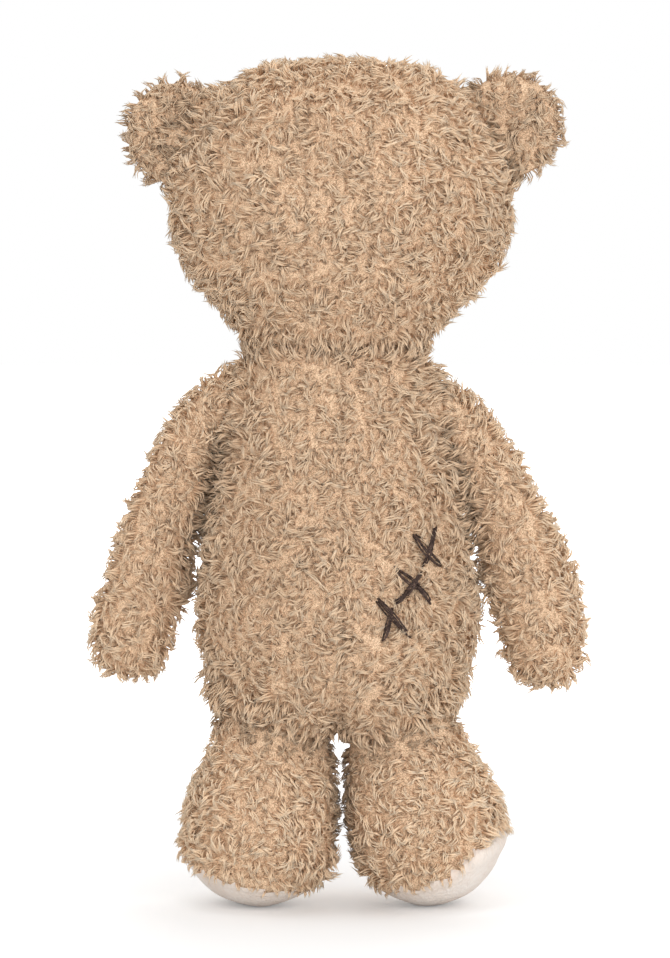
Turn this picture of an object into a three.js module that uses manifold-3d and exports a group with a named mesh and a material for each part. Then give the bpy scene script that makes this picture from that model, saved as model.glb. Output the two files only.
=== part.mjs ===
// A stuffed teddy bear, about 320 mm tall, standing on its own two soles.
// Sewn plush panels go round the stuffing, and three dark cross stitches mend the back.
// Sizes are in millimetres, +Z is up and the bear looks along -Y, so its left side is +X.
import * as THREE from "three";
import { mergeVertices } from "three/addons/utils/BufferGeometryUtils.js";
import Module from "manifold-3d";

const wasm = await Module();
wasm.setup();

const LEFT = 1;
const RIGHT = -1;

// Fabric and seams
const plushThickness = 6; // backing cloth and pile together
const muzzleThickness = 4; // the short pile of the muzzle
const lockHeight = 1.5; // how far a lock of pile stands above or below the mean surface
const velourInset = 1.6; // the soles lie this much below the tips of the pile
const seamGap = 0.3; // between any two pieces

// Body
const rumpHeight = 66; // floor to the lowest point of the body
const neckHeight = 211; // floor to the neck seam
const neckWidth = 67;
const neckDepth = 60;
const bodyWidth = 108;
const bodyDepth = 92;
const neckTuck = 14; // how far the rounded end of a form runs on past the neck seam

// Head
const headHeight = 107; // neck seam to crown
const headWidth = 130;
const headDepth = 102;
const headForward = 4;
const headAside = 1.2; // the head sits this much towards the bear's right
const gussetWidth = 27; // the strip from the forehead over the crown to the neck

// Ears
const earThickness = 15;
const earDish = 4.5; // how deep the front of the ear is hollowed
const earTurn = 0.35; // the ears look a little outwards, in radians
const leftEar = { side: LEFT, out: 59.5, height: 289.5, radius: 22 };
const rightEar = { side: RIGHT, out: 63.5, height: 292, radius: 22.5 };

// Arms
const pawForward = 9;
const armWidth = 33.5;
const leftArm = { side: LEFT, shoulderOut: 41, shoulderHeight: 203.5, pawOut: 77, pawHeight: 81.5 };
const rightArm = { side: RIGHT, shoulderOut: 39, shoulderHeight: 199, pawOut: 78.5, pawHeight: 78.5 };

// Legs and feet
const legTop = 97; // the rounded end of a leg, inside the body
const legOut = 25.5; // from the middle of the bear to the middle of a leg at the hip
const legWidth = 46;
const footWidth = 59;
const footLength = 84;
const footForward = 7;
// widest is the height at which a foot is widest, seam the height of its sole's seam
const leftFoot = { side: LEFT, out: 29.8, widest: 27.5, splay: 0.16, soleTilt: 0.24, seam: 13 };
const rightFoot = { side: RIGHT, out: 34.6, widest: 33, splay: 0.22, soleTilt: 0.31, seam: 14 };
const soleSlope = 0.1; // the seam of a sole rises towards the toes, in radians
const soleFlat = 1.1; // how much of the round sole the floor presses flat

// Face
const muzzleWidth = 54;
const muzzleHeight = 40;
const muzzleDepth = 30; // centre of the muzzle to its tip
const muzzleLift = 30; // neck seam to the centre of the muzzle
const muzzleProud = 24; // how far the tip of the muzzle stands out of the face
const eyeRadius = 5.4;
const eyeDome = 4.2;
const eyeRim = 1; // the straight edge under the dome
const eyeOut = 23;
const eyeLift = 56; // neck seam to the eyes
const stemRadius = 1.6;
const stemLength = 11;
const washerRadius = 6;
const washerThickness = 2;
const washerSlack = 0.4; // between the washer and the back of the cloth
const noseWidth = 22;
const noseHeight = 14;
const noseLift = 8; // centre of the muzzle to the middle of the nose
const noseThickness = 2;
const mouthDrop = 9; // nose to the fork of the mouth
const mouthWidth = 20;
const mouthSag = 2.2; // how far the mouth dips on either side of its fork
const mouthCurl = 1.4; // and how far its corners rise above the fork
const mouthThread = 1.5;

// Cross stitches: each stroke runs from one point of the back to another, [left, up]
const yarnThickness = 2.6;
const yarnProud = 0.5; // the middle of a stroke rises this far above the mean pile
const yarnSink = 2.4; // its ends dive this far below it
const crossStitches = {
  back_cross_stitch_upper: [
    [[-28.8, 140.1], [-38.2, 130.1]],
    [[-36.2, 143.5], [-31.6, 130.7]],
  ],
  back_cross_stitch_middle: [
    [[-20.6, 130.2], [-34.4, 117.7]],
    [[-31.2, 129.5], [-24.4, 119.7]],
    [[-26.6, 121.9], [-20.4, 117.7]],
  ],
  back_cross_stitch_lower: [
    [[-14.2, 119.9], [-27.2, 105.1]],
    [[-20.4, 116.1], [-16.8, 103.7]],
  ],
};

// Far enough to cut through any piece
const reach = 500;

// Colours and finishes
const cloth = (color, roughness = 0.95) => {
  return new THREE.MeshStandardMaterial({ color, roughness, metalness: 0, flatShading: true });
};
const plush = cloth(0xc6a67e);
const earPlush = cloth(0xb8946b);
const shortPlush = cloth(0xe2cdae);
const velour = cloth(0xe6cdb8);
const stuffing = cloth(0xf2efe8);
const yarn = cloth(0x3a2c26);
const noseThread = cloth(0x35261f, 0.6);
const eyePlastic = cloth(0x120d0a, 0.08);
const washerPlastic = cloth(0xe9e7e0, 0.5);

// A closed three.js geometry as a solid that can be cut and joined
function solid(geometry) {
  const bare = geometry.clone();
  bare.deleteAttribute("normal");
  bare.deleteAttribute("uv");
  const merged = mergeVertices(bare, 1e-4);
  const vertProperties = new Float32Array(merged.attributes.position.array);
  const triVerts = new Uint32Array(merged.index.array);
  return new wasm.Manifold(new wasm.Mesh({ numProp: 3, vertProperties, triVerts }));
}

// A solid as a named three.js mesh
function piece(name, body, material) {
  const made = body.getMesh();
  const geometry = new THREE.BufferGeometry();
  geometry.setAttribute("position", new THREE.BufferAttribute(made.vertProperties, 3));
  geometry.setIndex(new THREE.BufferAttribute(made.triVerts, 1));
  geometry.computeVertexNormals();
  const mesh = new THREE.Mesh(geometry, material.clone());
  mesh.name = name;
  return mesh;
}

// An uneven value from -1 to 1, always the same for the same ring and place
function unevenness(ring, place) {
  const wave = Math.sin(ring * 127.1 + place * 311.7) * 43758.5453;
  return 2 * (wave - Math.floor(wave)) - 1;
}

// The curves of a stuffed form through its sections, from its lowest point to its highest.
// A section is [height, half width, front, back, middle x, middle y].
function curves(sections) {
  const widths = sections.map(([up, half, front]) => new THREE.Vector3(half, front, up));
  const places = sections.map(([, , , back, x, y]) => new THREE.Vector3(back, x, y));
  return {
    outline: new THREE.CatmullRomCurve3(widths, false, "catmullrom"),
    middle: new THREE.CatmullRomCurve3(places, false, "catmullrom"),
  };
}

// The skin of a stuffed form: rings of points, closed by a point at either end.
// It can be swollen or shrunk, and its locks of pile stand unevenly out of it.
function skin({ sections, rings, around }, { detail = 1, swell = 0, locks = 0 }) {
  const { outline, middle } = curves(sections);
  const rows = Math.round(rings * detail);
  const columns = Math.round(around * detail);
  const points = [];
  const rowOf = [];
  for (let row = 0; row <= rows; row += 1) {
    const t = outline.getUtoTmapping(row / rows);
    const width = outline.getPoint(t);
    const place = middle.getPoint(t);
    const count = row === 0 || row === rows ? 1 : columns;
    for (let column = 0; column < count; column += 1) {
      const angle = (2 * Math.PI * (column + (row % 2) / 2)) / columns;
      const depth = Math.sin(angle) < 0 ? width.y : place.x;
      const x = place.y + width.x * Math.cos(angle);
      const y = place.z + depth * Math.sin(angle);
      points.push(x, y, width.z);
      rowOf.push([row, column]);
    }
  }
  const index = [];
  const first = (row) => 1 + (row - 1) * columns;
  const last = points.length / 3 - 1;
  for (let column = 0; column < columns; column += 1) {
    const next = (column + 1) % columns;
    index.push(0, first(1) + next, first(1) + column);
    index.push(last, first(rows - 1) + column, first(rows - 1) + next);
    for (let row = 1; row < rows - 1; row += 1) {
      const a = first(row) + column;
      const b = first(row) + next;
      const c = first(row + 1) + next;
      const d = first(row + 1) + column;
      if (row % 2) index.push(a, b, c, a, c, d);
      else index.push(a, b, d, b, c, d);
    }
  }
  const geometry = new THREE.BufferGeometry();
  geometry.setAttribute("position", new THREE.Float32BufferAttribute(points, 3));
  geometry.setIndex(index);
  geometry.computeVertexNormals();
  const at = new THREE.Vector3();
  const out = new THREE.Vector3();
  rowOf.forEach(([row, column], i) => {
    out.fromBufferAttribute(geometry.attributes.normal, i);
    at.fromBufferAttribute(geometry.attributes.position, i);
    at.addScaledVector(out, swell + locks * unevenness(row, column));
    geometry.attributes.position.setXYZ(i, at.x, at.y, at.z);
  });
  return geometry;
}

const furry = (form, swell = 0) => solid(skin(form, { swell, locks: lockHeight }));
const smooth = (form, inset, detail = 0.36) => solid(skin(form, { swell: -inset, detail }));

// A box between two corners, for cutting
function zone([x0, y0, z0], [x1, y1, z1]) {
  const box = new THREE.BoxGeometry(x1 - x0, y1 - y0, z1 - z0);
  return solid(box.translate((x0 + x1) / 2, (y0 + y1) / 2, (z0 + z1) / 2));
}
const above = (z) => zone([-reach, -reach, z], [reach, reach, reach]);
const below = (z) => zone([-reach, -reach, -reach], [reach, reach, z]);
const leftOf = (x) => zone([x, -reach, -reach], [reach, reach, reach]);
const rightOf = (x) => zone([-reach, -reach, -reach], [x, reach, reach]);
const frontOf = (y) => zone([-reach, -reach, -reach], [reach, y, reach]);
const behind = (y) => zone([-reach, y, -reach], [reach, reach, reach]);

// Everything on the outer side of a limb's middle line, for splitting it into two panels
function outerZone(form, side, shift) {
  const { middle, outline } = curves(form.sections);
  const line = [0, 0.3, 0.6, 1].map((t) => {
    return new THREE.Vector2(middle.getPoint(t).y + side * shift, outline.getPoint(t).z);
  });
  const ends = [line[line.length - 1].y + reach, line[0].y - reach];
  const edge = new THREE.Shape([
    new THREE.Vector2(line[0].x, ends[1]),
    ...line,
    new THREE.Vector2(line[line.length - 1].x, ends[0]),
    new THREE.Vector2(side * reach, ends[0]),
    new THREE.Vector2(side * reach, ends[1]),
  ]);
  const slab = new THREE.ExtrudeGeometry(edge, { depth: 2 * reach, bevelEnabled: false });
  return solid(slab.rotateX(Math.PI / 2).translate(0, reach, 0));
}

// The point of a form's mean surface at x and z, on its front (-1) or its back (1)
function surfacePoint(form, x, z, facing) {
  const { outline, middle } = curves(form.sections);
  let low = 0;
  let high = 1;
  while (high - low > 1e-6) {
    const half = (low + high) / 2;
    if (outline.getPoint(half).z < z) low = half;
    else high = half;
  }
  const width = outline.getPoint(low);
  const place = middle.getPoint(low);
  const across = (x - place.y) / width.x;
  const depth = facing < 0 ? width.y : place.x;
  const y = place.z + facing * depth * Math.sqrt(Math.max(0, 1 - across * across));
  return new THREE.Vector3(x, y, z);
}

// The direction in which that surface looks
function surfaceNormal(form, x, z, facing) {
  const step = 1;
  const ends = [-step, step];
  const [left, right] = ends.map((d) => surfacePoint(form, x + d, z, facing));
  const [low, high] = ends.map((d) => surfacePoint(form, x, z + d, facing));
  const across = right.sub(left);
  return across.cross(high.sub(low)).multiplyScalar(-facing).normalize();
}

// A round thread or yarn along a curve
function strand(points, thickness) {
  const path = new THREE.CatmullRomCurve3(points);
  const section = new THREE.Shape().absarc(0, 0, thickness / 2, 0, 2 * Math.PI);
  const steps = points.length - 1;
  const options = { steps, extrudePath: path, bevelEnabled: false, curveSegments: 3 };
  return solid(new THREE.ExtrudeGeometry(section, options));
}

// Each row: share of the height from rump to neck, then shares of the width and of the depth
const bodyShape = [
  [0, 0, 0, 0],
  [0.012, 0.42, 0.4, 0.38],
  [0.05, 0.74, 0.72, 0.68],
  [0.12, 0.87, 0.9, 0.84],
  [0.2, 0.955, 1.01, 0.94],
  [0.29, 1, 1.05, 1],
  [0.42, 0.965, 1.02, 0.98],
  [0.58, 0.885, 0.91, 0.89],
  [0.74, 0.81, 0.79, 0.79],
  [0.9, 0.74, 0.71, 0.71],
];
const bodyRise = neckHeight - rumpHeight;
const neckRing = [neckWidth / 2, neckDepth / 2, neckDepth / 2, 0, 0];
const body = {
  sections: [
    ...bodyShape.map(([rise, wide, front, back]) => [
      rumpHeight + rise * bodyRise,
      (wide * bodyWidth) / 2,
      (front * bodyDepth) / 2,
      (back * bodyDepth) / 2,
      0,
      0,
    ]),
    [neckHeight, ...neckRing],
    [neckHeight + 0.75 * neckTuck, neckWidth / 4, neckDepth / 4, neckDepth / 4, 0, 0],
    [neckHeight + neckTuck, 0, 0, 0, 0, 0],
  ],
  rings: 16,
  around: 26,
};

// Each row: share of the height from neck to crown, then shares of the width and of the depth
const headShape = [
  [0.08, 0.625, 0.67, 0.66],
  [0.16, 0.745, 0.79, 0.77],
  [0.25, 0.885, 0.9, 0.88],
  [0.35, 0.97, 0.96, 0.95],
  [0.47, 1, 1, 1],
  [0.59, 0.99, 0.99, 1],
  [0.71, 0.92, 0.93, 0.95],
  [0.82, 0.81, 0.81, 0.84],
  [0.91, 0.65, 0.64, 0.68],
  [0.97, 0.43, 0.42, 0.45],
  [1, 0, 0, 0],
];
const head = {
  sections: [
    [neckHeight - neckTuck, 0, 0, 0, 0, 0],
    [neckHeight - 0.75 * neckTuck, neckWidth / 4, neckDepth / 4, neckDepth / 4, 0, 0],
    [neckHeight, ...neckRing],
    ...headShape.map(([rise, wide, front, back]) => [
      neckHeight + rise * headHeight,
      (wide * headWidth) / 2,
      (front * headDepth) / 2,
      (back * headDepth) / 2,
      -headAside * Math.min(1, 3 * rise),
      -headForward * Math.min(1, 3 * rise),
    ]),
  ],
  rings: 16,
  around: 28,
};

// Each row: share of the way from the tip of the paw to the shoulder, share of the width,
// and share of the way in from the paw's middle line to the shoulder's
const armShape = [
  [0, 0, 0],
  [0.022, 0.5, 0],
  [0.065, 0.81, 0],
  [0.13, 0.985, 0.01],
  [0.21, 1.02, 0.03],
  [0.33, 1, 0.13],
  [0.45, 0.965, 0.235],
  [0.55, 0.935, 0.34],
  [0.63, 0.91, 0.43],
  [0.72, 0.89, 0.55],
  [0.8, 0.87, 0.68],
  [0.87, 0.84, 0.82],
  [0.94, 0.69, 0.95],
  [0.985, 0.34, 1],
  [1, 0, 1],
];
function armForm({ side, shoulderOut, shoulderHeight, pawOut, pawHeight }) {
  const drop = shoulderHeight - pawHeight;
  const sections = armShape.map(([rise, wide, inward]) => [
    pawHeight + rise * drop,
    (wide * armWidth) / 2,
    (wide * armWidth * 1.06) / 2,
    (wide * armWidth * 1.06) / 2,
    side * (pawOut + inward * (shoulderOut - pawOut)),
    -pawForward * (1 - inward),
  ]);
  return { sections, rings: 15, around: 12 };
}

// Each row: share of the way up to the widest ring of the foot, then shares of the width,
// of the length in front of the leg, and of the length behind it
const footShape = [
  [0, 0, 0, 0],
  [0.045, 0.32, 0.36, 0.38],
  [0.15, 0.53, 0.56, 0.56],
  [0.33, 0.74, 0.76, 0.74],
  [0.53, 0.895, 0.9, 0.87],
  [0.76, 0.98, 0.98, 0.96],
  [1, 1.02, 1.01, 1],
];
// Each row: share of the way from that ring to the top of the leg, then how far the shape
// has gone over from the foot to the leg
const legShape = [
  [0.12, 0.1],
  [0.24, 0.32],
  [0.36, 0.62],
  [0.49, 0.9],
  [0.64, 1],
  [0.8, 1],
];
const toeShare = 0.55; // of the foot's length, in front of the leg's middle line
function legForm({ side, out, widest }) {
  const bottom = -velourInset - soleFlat;
  const rise = widest - bottom;
  const toes = toeShare * footLength;
  const heel = footLength - toes;
  const foot = footShape.map(([up, wide, front, back]) => [
    bottom + up * rise,
    (wide * footWidth) / 2,
    front * toes,
    back * heel,
    side * out,
    -footForward,
  ]);
  const blend = (from, to, share) => from + (to - from) * share;
  const leg = legShape.map(([up, share]) => [
    blend(widest, legTop, up),
    blend(footWidth, legWidth, share) / 2,
    blend(toes, 0.5 * legWidth, share),
    blend(heel, 0.5 * legWidth, share),
    side * blend(out, legOut, share),
    -footForward * (1 - share),
  ]);
  const end = [side * legOut, 0];
  return {
    sections: [
      ...foot,
      ...leg,
      [blend(widest, legTop, 0.94), legWidth / 3, legWidth / 3, legWidth / 3, ...end],
      [legTop, 0, 0, 0, ...end],
    ],
    rings: 14,
    around: 16,
  };
}

// The two panels of an ear as one form, lying flat: its hollowed front faces down
function earForm({ radius }) {
  const half = earThickness / 2;
  const sections = [
    [earDish - half, 0],
    [0.6 * earDish - half, 0.45],
    [0.1 * earDish - half, 0.76],
    [-0.45 * half, 0.97],
    [0.2 * half, 1],
    [0.66 * half, 0.84],
    [0.93 * half, 0.5],
    [half, 0],
  ].map(([up, share]) => [up, share * radius, share * radius, share * radius, 0, 0]);
  return { sections, rings: 10, around: 14 };
}

// An ear's form, or half of it, stood up and put at its place on the head
function placeEar(geometry, { side, out, height }) {
  return geometry.rotateX(-Math.PI / 2).rotateZ(side * earTurn).translate(side * out, 0, height);
}

const bodyRoom = furry(body, seamGap);
const headRoom = furry(head, seamGap);

function makeBody() {
  const shell = furry(body)
    .subtract(smooth(body, plushThickness))
    .intersect(below(neckHeight - seamGap / 2));
  const back = shell.intersect(behind(seamGap / 2));
  const room = Object.values(crossStitches).map((strokes) => crossStitch(strokes, seamGap));
  const mended = room.reduce((panel, cross) => panel.subtract(cross), back);
  const filling = smooth(body, plushThickness + seamGap);
  const torso = new THREE.Group();
  torso.add(
    piece("body_front", shell.intersect(frontOf(-seamGap / 2)), plush),
    piece("body_back_left", mended.intersect(leftOf(seamGap / 2)), plush),
    piece("body_back_right", mended.intersect(rightOf(-seamGap / 2)), plush),
    piece("body_stuffing", filling.intersect(below(neckHeight - seamGap / 2)), stuffing),
  );
  for (const [name, strokes] of Object.entries(crossStitches)) {
    torso.add(piece(name, crossStitch(strokes, 0), yarn));
  }
  return torso;
}

// One mending stitch: strokes of yarn that cross, with their ends pulled into the pile
function crossStitch(strokes, room) {
  const lifts = [-yarnSink, yarnProud, yarnProud, -yarnSink];
  const parts = strokes.map(([from, to]) => {
    const points = lifts.map((lift, i) => {
      const share = i / (lifts.length - 1);
      const x = from[0] + (to[0] - from[0]) * share;
      const z = from[1] + (to[1] - from[1]) * share;
      const out = surfaceNormal(body, x, z, 1);
      return surfacePoint(body, x, z, 1).addScaledVector(out, lift);
    });
    return strand(points, yarnThickness + 2 * room);
  });
  return parts.reduce((whole, part) => whole.add(part));
}

// The muzzle is an egg that stands out of the face
const muzzleZ = neckHeight + muzzleLift;
const muzzleY = surfacePoint(head, 0, muzzleZ, -1).y - muzzleProud + muzzleDepth;
function muzzleEgg(swell, around = 18) {
  const egg = new THREE.SphereGeometry(1, around, Math.round(0.6 * around)).rotateX(Math.PI / 2);
  egg.scale(muzzleWidth / 2 + swell, muzzleDepth + swell, muzzleHeight / 2 + swell);
  return solid(egg.translate(0, muzzleY, muzzleZ));
}

function muzzlePoint(x, z, lift) {
  const across = (2 * x) / muzzleWidth;
  const up = (2 * (z - muzzleZ)) / muzzleHeight;
  const y = muzzleY - muzzleDepth * Math.sqrt(1 - across * across - up * up) - lift;
  return new THREE.Vector3(x, y, z);
}

// A safety eye: a shiny dome on a stem that goes through the face. room makes a hole for it.
function eyeAt(side, room) {
  const r = eyeRadius + room;
  const stem = stemRadius + room;
  const profile = [new THREE.Vector2(0, -stemLength - room)];
  profile.push(new THREE.Vector2(stem, -stemLength - room));
  profile.push(new THREE.Vector2(stem, -eyeRim - room), new THREE.Vector2(r, -eyeRim - room));
  const steps = 4;
  for (let i = 0; i <= steps; i += 1) {
    const angle = (i / steps) * (Math.PI / 2);
    profile.push(new THREE.Vector2(r * Math.cos(angle), (eyeDome + room) * Math.sin(angle)));
  }
  profile[profile.length - 1].x = 0;
  return placeEye(new THREE.LatheGeometry(profile, 12), side);
}

// The washer that holds the stem behind the cloth
function washerAt(side, room) {
  const inner = room ? 0 : stemRadius + seamGap;
  const outer = washerRadius + room;
  const top = -plushThickness - seamGap - washerSlack + room;
  const bottom = top - washerThickness - 2 * room;
  const ring = [
    new THREE.Vector2(inner, bottom),
    new THREE.Vector2(outer, bottom),
    new THREE.Vector2(outer, top),
    new THREE.Vector2(inner, top),
  ];
  if (!room) ring.push(ring[0].clone());
  return placeEye(new THREE.LatheGeometry(ring, 10), side);
}

function placeEye(geometry, side) {
  const z = neckHeight + eyeLift;
  const out = surfaceNormal(head, side * eyeOut, z, -1);
  const turn = new THREE.Quaternion().setFromUnitVectors(new THREE.Vector3(0, 1, 0), out);
  const at = surfacePoint(head, side * eyeOut, z, -1);
  return solid(geometry.applyQuaternion(turn).translate(at.x, at.y, at.z));
}

// A soft triangle of embroidery over the tip of the muzzle
function makeNose() {
  const w = noseWidth / 2;
  const h = noseHeight / 2;
  const outline = new THREE.Shape();
  outline.moveTo(-0.55 * w, h);
  outline.quadraticCurveTo(0, 1.2 * h, 0.55 * w, h);
  outline.quadraticCurveTo(1.15 * w, 0.75 * h, 0.8 * w, 0);
  outline.quadraticCurveTo(0.45 * w, -h, 0, -h);
  outline.quadraticCurveTo(-0.45 * w, -h, -0.8 * w, 0);
  outline.quadraticCurveTo(-1.15 * w, 0.75 * h, -0.55 * w, h);
  const options = { depth: reach, bevelEnabled: false, curveSegments: 5 };
  const bar = new THREE.ExtrudeGeometry(outline, options).rotateX(Math.PI / 2);
  const front = solid(bar.translate(0, muzzleY, muzzleZ + noseLift));
  return muzzleEgg(seamGap + noseThickness).subtract(muzzleEgg(seamGap)).intersect(front);
}

// The mouth: a stitch down from the nose, and one out to either side
function makeMouth() {
  const top = muzzleZ + noseLift - noseHeight / 2 - seamGap - mouthThread / 2;
  const fork = top - mouthDrop;
  const half = mouthWidth / 2;
  const corner = (side) => [
    [0, fork],
    [0.45 * side * half, fork - mouthSag],
    [0.85 * side * half, fork - 0.5 * mouthSag],
    [side * half, fork + mouthCurl],
  ];
  const lines = [[[0, top], [0, (top + fork) / 2], [0, fork]], corner(LEFT), corner(RIGHT)];
  const threads = lines.map((line) => {
    const points = line.map(([x, z]) => muzzlePoint(x, z, seamGap + mouthThread / 2));
    return strand(points, mouthThread);
  });
  return threads.reduce((whole, part) => whole.add(part));
}

// The gusset goes from the forehead over the crown to the neck, and not under the chin
function gussetZone(room) {
  const half = gussetWidth / 2 + room;
  const strip = zone([-half, -reach, -reach], [half, reach, reach]);
  return strip.subtract(zone([-reach, -reach, -reach], [reach, -room, muzzleZ - room]));
}

function makeHead() {
  const eyes = [LEFT, RIGHT];
  const opening = muzzleEgg(-muzzleThickness, 12);
  const eyeRoom = (rest, side) => {
    return rest.subtract(eyeAt(side, seamGap)).subtract(washerAt(side, seamGap));
  };
  const whole = furry(head)
    .subtract(smooth(head, plushThickness))
    .subtract(opening)
    .intersect(above(neckHeight + seamGap / 2));
  const shell = eyes.reduce(eyeRoom, whole);
  const sides = shell.subtract(gussetZone(seamGap));
  const muzzle = muzzleEgg(0).subtract(opening).subtract(headRoom);
  const filling = smooth(head, plushThickness + seamGap)
    .add(muzzleEgg(-muzzleThickness - seamGap, 12))
    .intersect(above(neckHeight + seamGap / 2));
  const group = new THREE.Group();
  group.add(
    piece("head_side_left", sides.intersect(leftOf(seamGap / 2)), plush),
    piece("head_side_right", sides.intersect(rightOf(-seamGap / 2)), plush),
    piece("head_gusset", shell.intersect(gussetZone(0)), plush),
    piece("head_stuffing", eyes.reduce(eyeRoom, filling), stuffing),
    piece("muzzle", muzzle, shortPlush),
    piece("nose", makeNose(), noseThread),
    piece("mouth", makeMouth(), noseThread),
    piece("eye_left", eyeAt(LEFT, 0), eyePlastic),
    piece("eye_right", eyeAt(RIGHT, 0), eyePlastic),
    piece("eye_washer_left", washerAt(LEFT, 0), washerPlastic),
    piece("eye_washer_right", washerAt(RIGHT, 0), washerPlastic),
  );
  for (const [name, ear] of [["left", leftEar], ["right", rightEar]]) {
    const disc = solid(placeEar(skin(earForm(ear), { locks: lockHeight / 2 }), ear));
    const slab = (low, high) => {
      const box = new THREE.BoxGeometry(reach, reach, high - low);
      return solid(placeEar(box.translate(0, 0, (low + high) / 2), ear));
    };
    const ending = disc.subtract(headRoom);
    const seam = seamGap / 2;
    group.add(
      piece(`ear_${name}_front`, ending.intersect(slab(-reach, -seam)), earPlush),
      piece(`ear_${name}_back`, ending.intersect(slab(seam, reach)), earPlush),
    );
  }
  return group;
}

// A limb's shell split along its middle line into an outer and an inner panel
function limbPanels(name, form, side, shell) {
  return [
    piece(`${name}_outer`, shell.intersect(outerZone(form, side, seamGap / 2)), plush),
    piece(`${name}_inner`, shell.subtract(outerZone(form, side, -seamGap / 2)), plush),
  ];
}

function makeArm(name, arm) {
  const form = armForm(arm);
  const shell = furry(form).subtract(smooth(form, plushThickness)).subtract(bodyRoom);
  const filling = smooth(form, plushThickness + seamGap).subtract(bodyRoom);
  const group = new THREE.Group();
  group.add(
    ...limbPanels(name, form, arm.side, shell),
    piece(`${name}_stuffing`, filling, stuffing),
  );
  return group;
}

// Everything below the tilted seam between a foot and its sole
function soleZone({ side, out, soleTilt, seam }, lift) {
  const block = new THREE.BoxGeometry(reach, reach, reach).translate(0, 0, -reach / 2);
  block.rotateX(-soleSlope).rotateY(-side * soleTilt);
  return solid(block.translate(side * out, -footForward, seam + lift));
}

function makeLeg(name, foot) {
  const form = legForm(foot);
  const turned = (body) => {
    const middle = [foot.side * foot.out, -footForward, 0];
    const back = middle.map((value) => -value);
    return body.translate(back).rotate([0, 0, foot.side * THREE.MathUtils.radToDeg(foot.splay)])
      .translate(middle);
  };
  const shell = turned(furry(form).subtract(smooth(form, plushThickness)))
    .subtract(bodyRoom)
    .subtract(soleZone(foot, seamGap));
  const pad = turned(smooth(form, velourInset, 0.75))
    .subtract(turned(smooth(form, plushThickness)))
    .intersect(soleZone(foot, 0))
    .intersect(above(0));
  const filling = turned(smooth(form, plushThickness + seamGap)).subtract(bodyRoom);
  const group = new THREE.Group();
  group.add(
    ...limbPanels(name, form, foot.side, shell),
    piece(`${name}_stuffing`, filling, stuffing),
    piece(`${name.replace("leg", "sole")}`, pad, velour),
  );
  return group;
}

const bear = new THREE.Group();
bear.name = "teddy_bear";
bear.add(
  makeHead(),
  makeBody(),
  makeArm("arm_left", leftArm),
  makeArm("arm_right", rightArm),
  makeLeg("leg_left", leftFoot),
  makeLeg("leg_right", rightFoot),
);

// The origin is on the floor, under the middle of the bear
const bounds = new THREE.Box3().setFromObject(bear);
const centre = bounds.getCenter(new THREE.Vector3());
bear.position.set(-centre.x, -centre.y, -bounds.min.z);

export default bear;
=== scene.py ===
"""A standing stuffed bear in curly plush, dressed over its packed frame.

Every panel of cloth becomes a plump skin with its own pile of curled locks. The soles are velour, the
muzzle is short pile, the nose and mouth are embroidered, and three crosses of yarn mend the back.
"""

import math
import random

import bmesh
import bpy
import numpy as np
from bpy.props import FloatProperty, FloatVectorProperty, IntProperty, PointerProperty, StringProperty
from bpy.types import Operator, Panel, PropertyGroup
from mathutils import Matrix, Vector, noise
from mathutils.bvhtree import BVHTree


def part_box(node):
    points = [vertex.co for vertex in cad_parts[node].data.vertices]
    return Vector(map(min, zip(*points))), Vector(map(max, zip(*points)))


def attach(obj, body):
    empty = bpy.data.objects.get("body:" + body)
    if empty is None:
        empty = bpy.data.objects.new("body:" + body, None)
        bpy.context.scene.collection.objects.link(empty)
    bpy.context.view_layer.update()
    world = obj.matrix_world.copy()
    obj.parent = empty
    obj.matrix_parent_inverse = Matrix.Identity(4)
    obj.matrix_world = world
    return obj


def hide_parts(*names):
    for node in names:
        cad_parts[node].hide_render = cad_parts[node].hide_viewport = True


bl_info = {
    "name": "Plush bear",
    "version": (1, 0, 0),
    "blender": (4, 5, 0),
    "location": "3D View > Sidebar > Bear",
    "description": "Dresses a packed stuffed bear in plush, velour, thread and yarn",
    "category": "Add Mesh",
}

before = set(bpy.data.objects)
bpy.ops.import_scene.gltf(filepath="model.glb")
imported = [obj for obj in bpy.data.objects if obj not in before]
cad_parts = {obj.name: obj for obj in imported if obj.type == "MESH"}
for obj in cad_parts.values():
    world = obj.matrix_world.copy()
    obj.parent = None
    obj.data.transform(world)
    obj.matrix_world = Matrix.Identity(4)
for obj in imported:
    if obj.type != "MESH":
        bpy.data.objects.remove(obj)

MM = 0.001
BAKE_MAP = "OFBake"
PILE_SHARE = 0.5  # the pile's share of the bake map's height; the cloth under it has the rest
TINY = 1e-9
SWELL_STEPS = 18

FORMS = {}
KIT = {}

# The stuffed regions: the panels of cloth round each, and the filling inside.
REGIONS = {
    "head": {"panels": ["head_side_left", "head_side_right", "head_gusset"], "inside": ["head_stuffing"]},
    "ear_left": {"panels": ["ear_left_front", "ear_left_back"], "inside": []},
    "ear_right": {"panels": ["ear_right_front", "ear_right_back"], "inside": []},
    "body": {"panels": ["body_front", "body_back_left", "body_back_right"], "inside": ["body_stuffing"]},
    "arm_left": {"panels": ["arm_left_outer", "arm_left_inner"], "inside": ["arm_left_stuffing"]},
    "arm_right": {"panels": ["arm_right_outer", "arm_right_inner"], "inside": ["arm_right_stuffing"]},
    "leg_left": {
        "panels": ["leg_left_outer", "leg_left_inner", "sole_left"],
        "inside": ["leg_left_stuffing"],
    },
    "leg_right": {
        "panels": ["leg_right_outer", "leg_right_inner", "sole_right"],
        "inside": ["leg_right_stuffing"],
    },
    "muzzle": {"panels": ["muzzle"], "inside": []},
}
FILLINGS = [node for parts in REGIONS.values() for node in parts["inside"]]
WASHERS = ["eye_washer_left", "eye_washer_right"]
CROSSES = ["back_cross_stitch_upper", "back_cross_stitch_middle", "back_cross_stitch_lower"]

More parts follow.
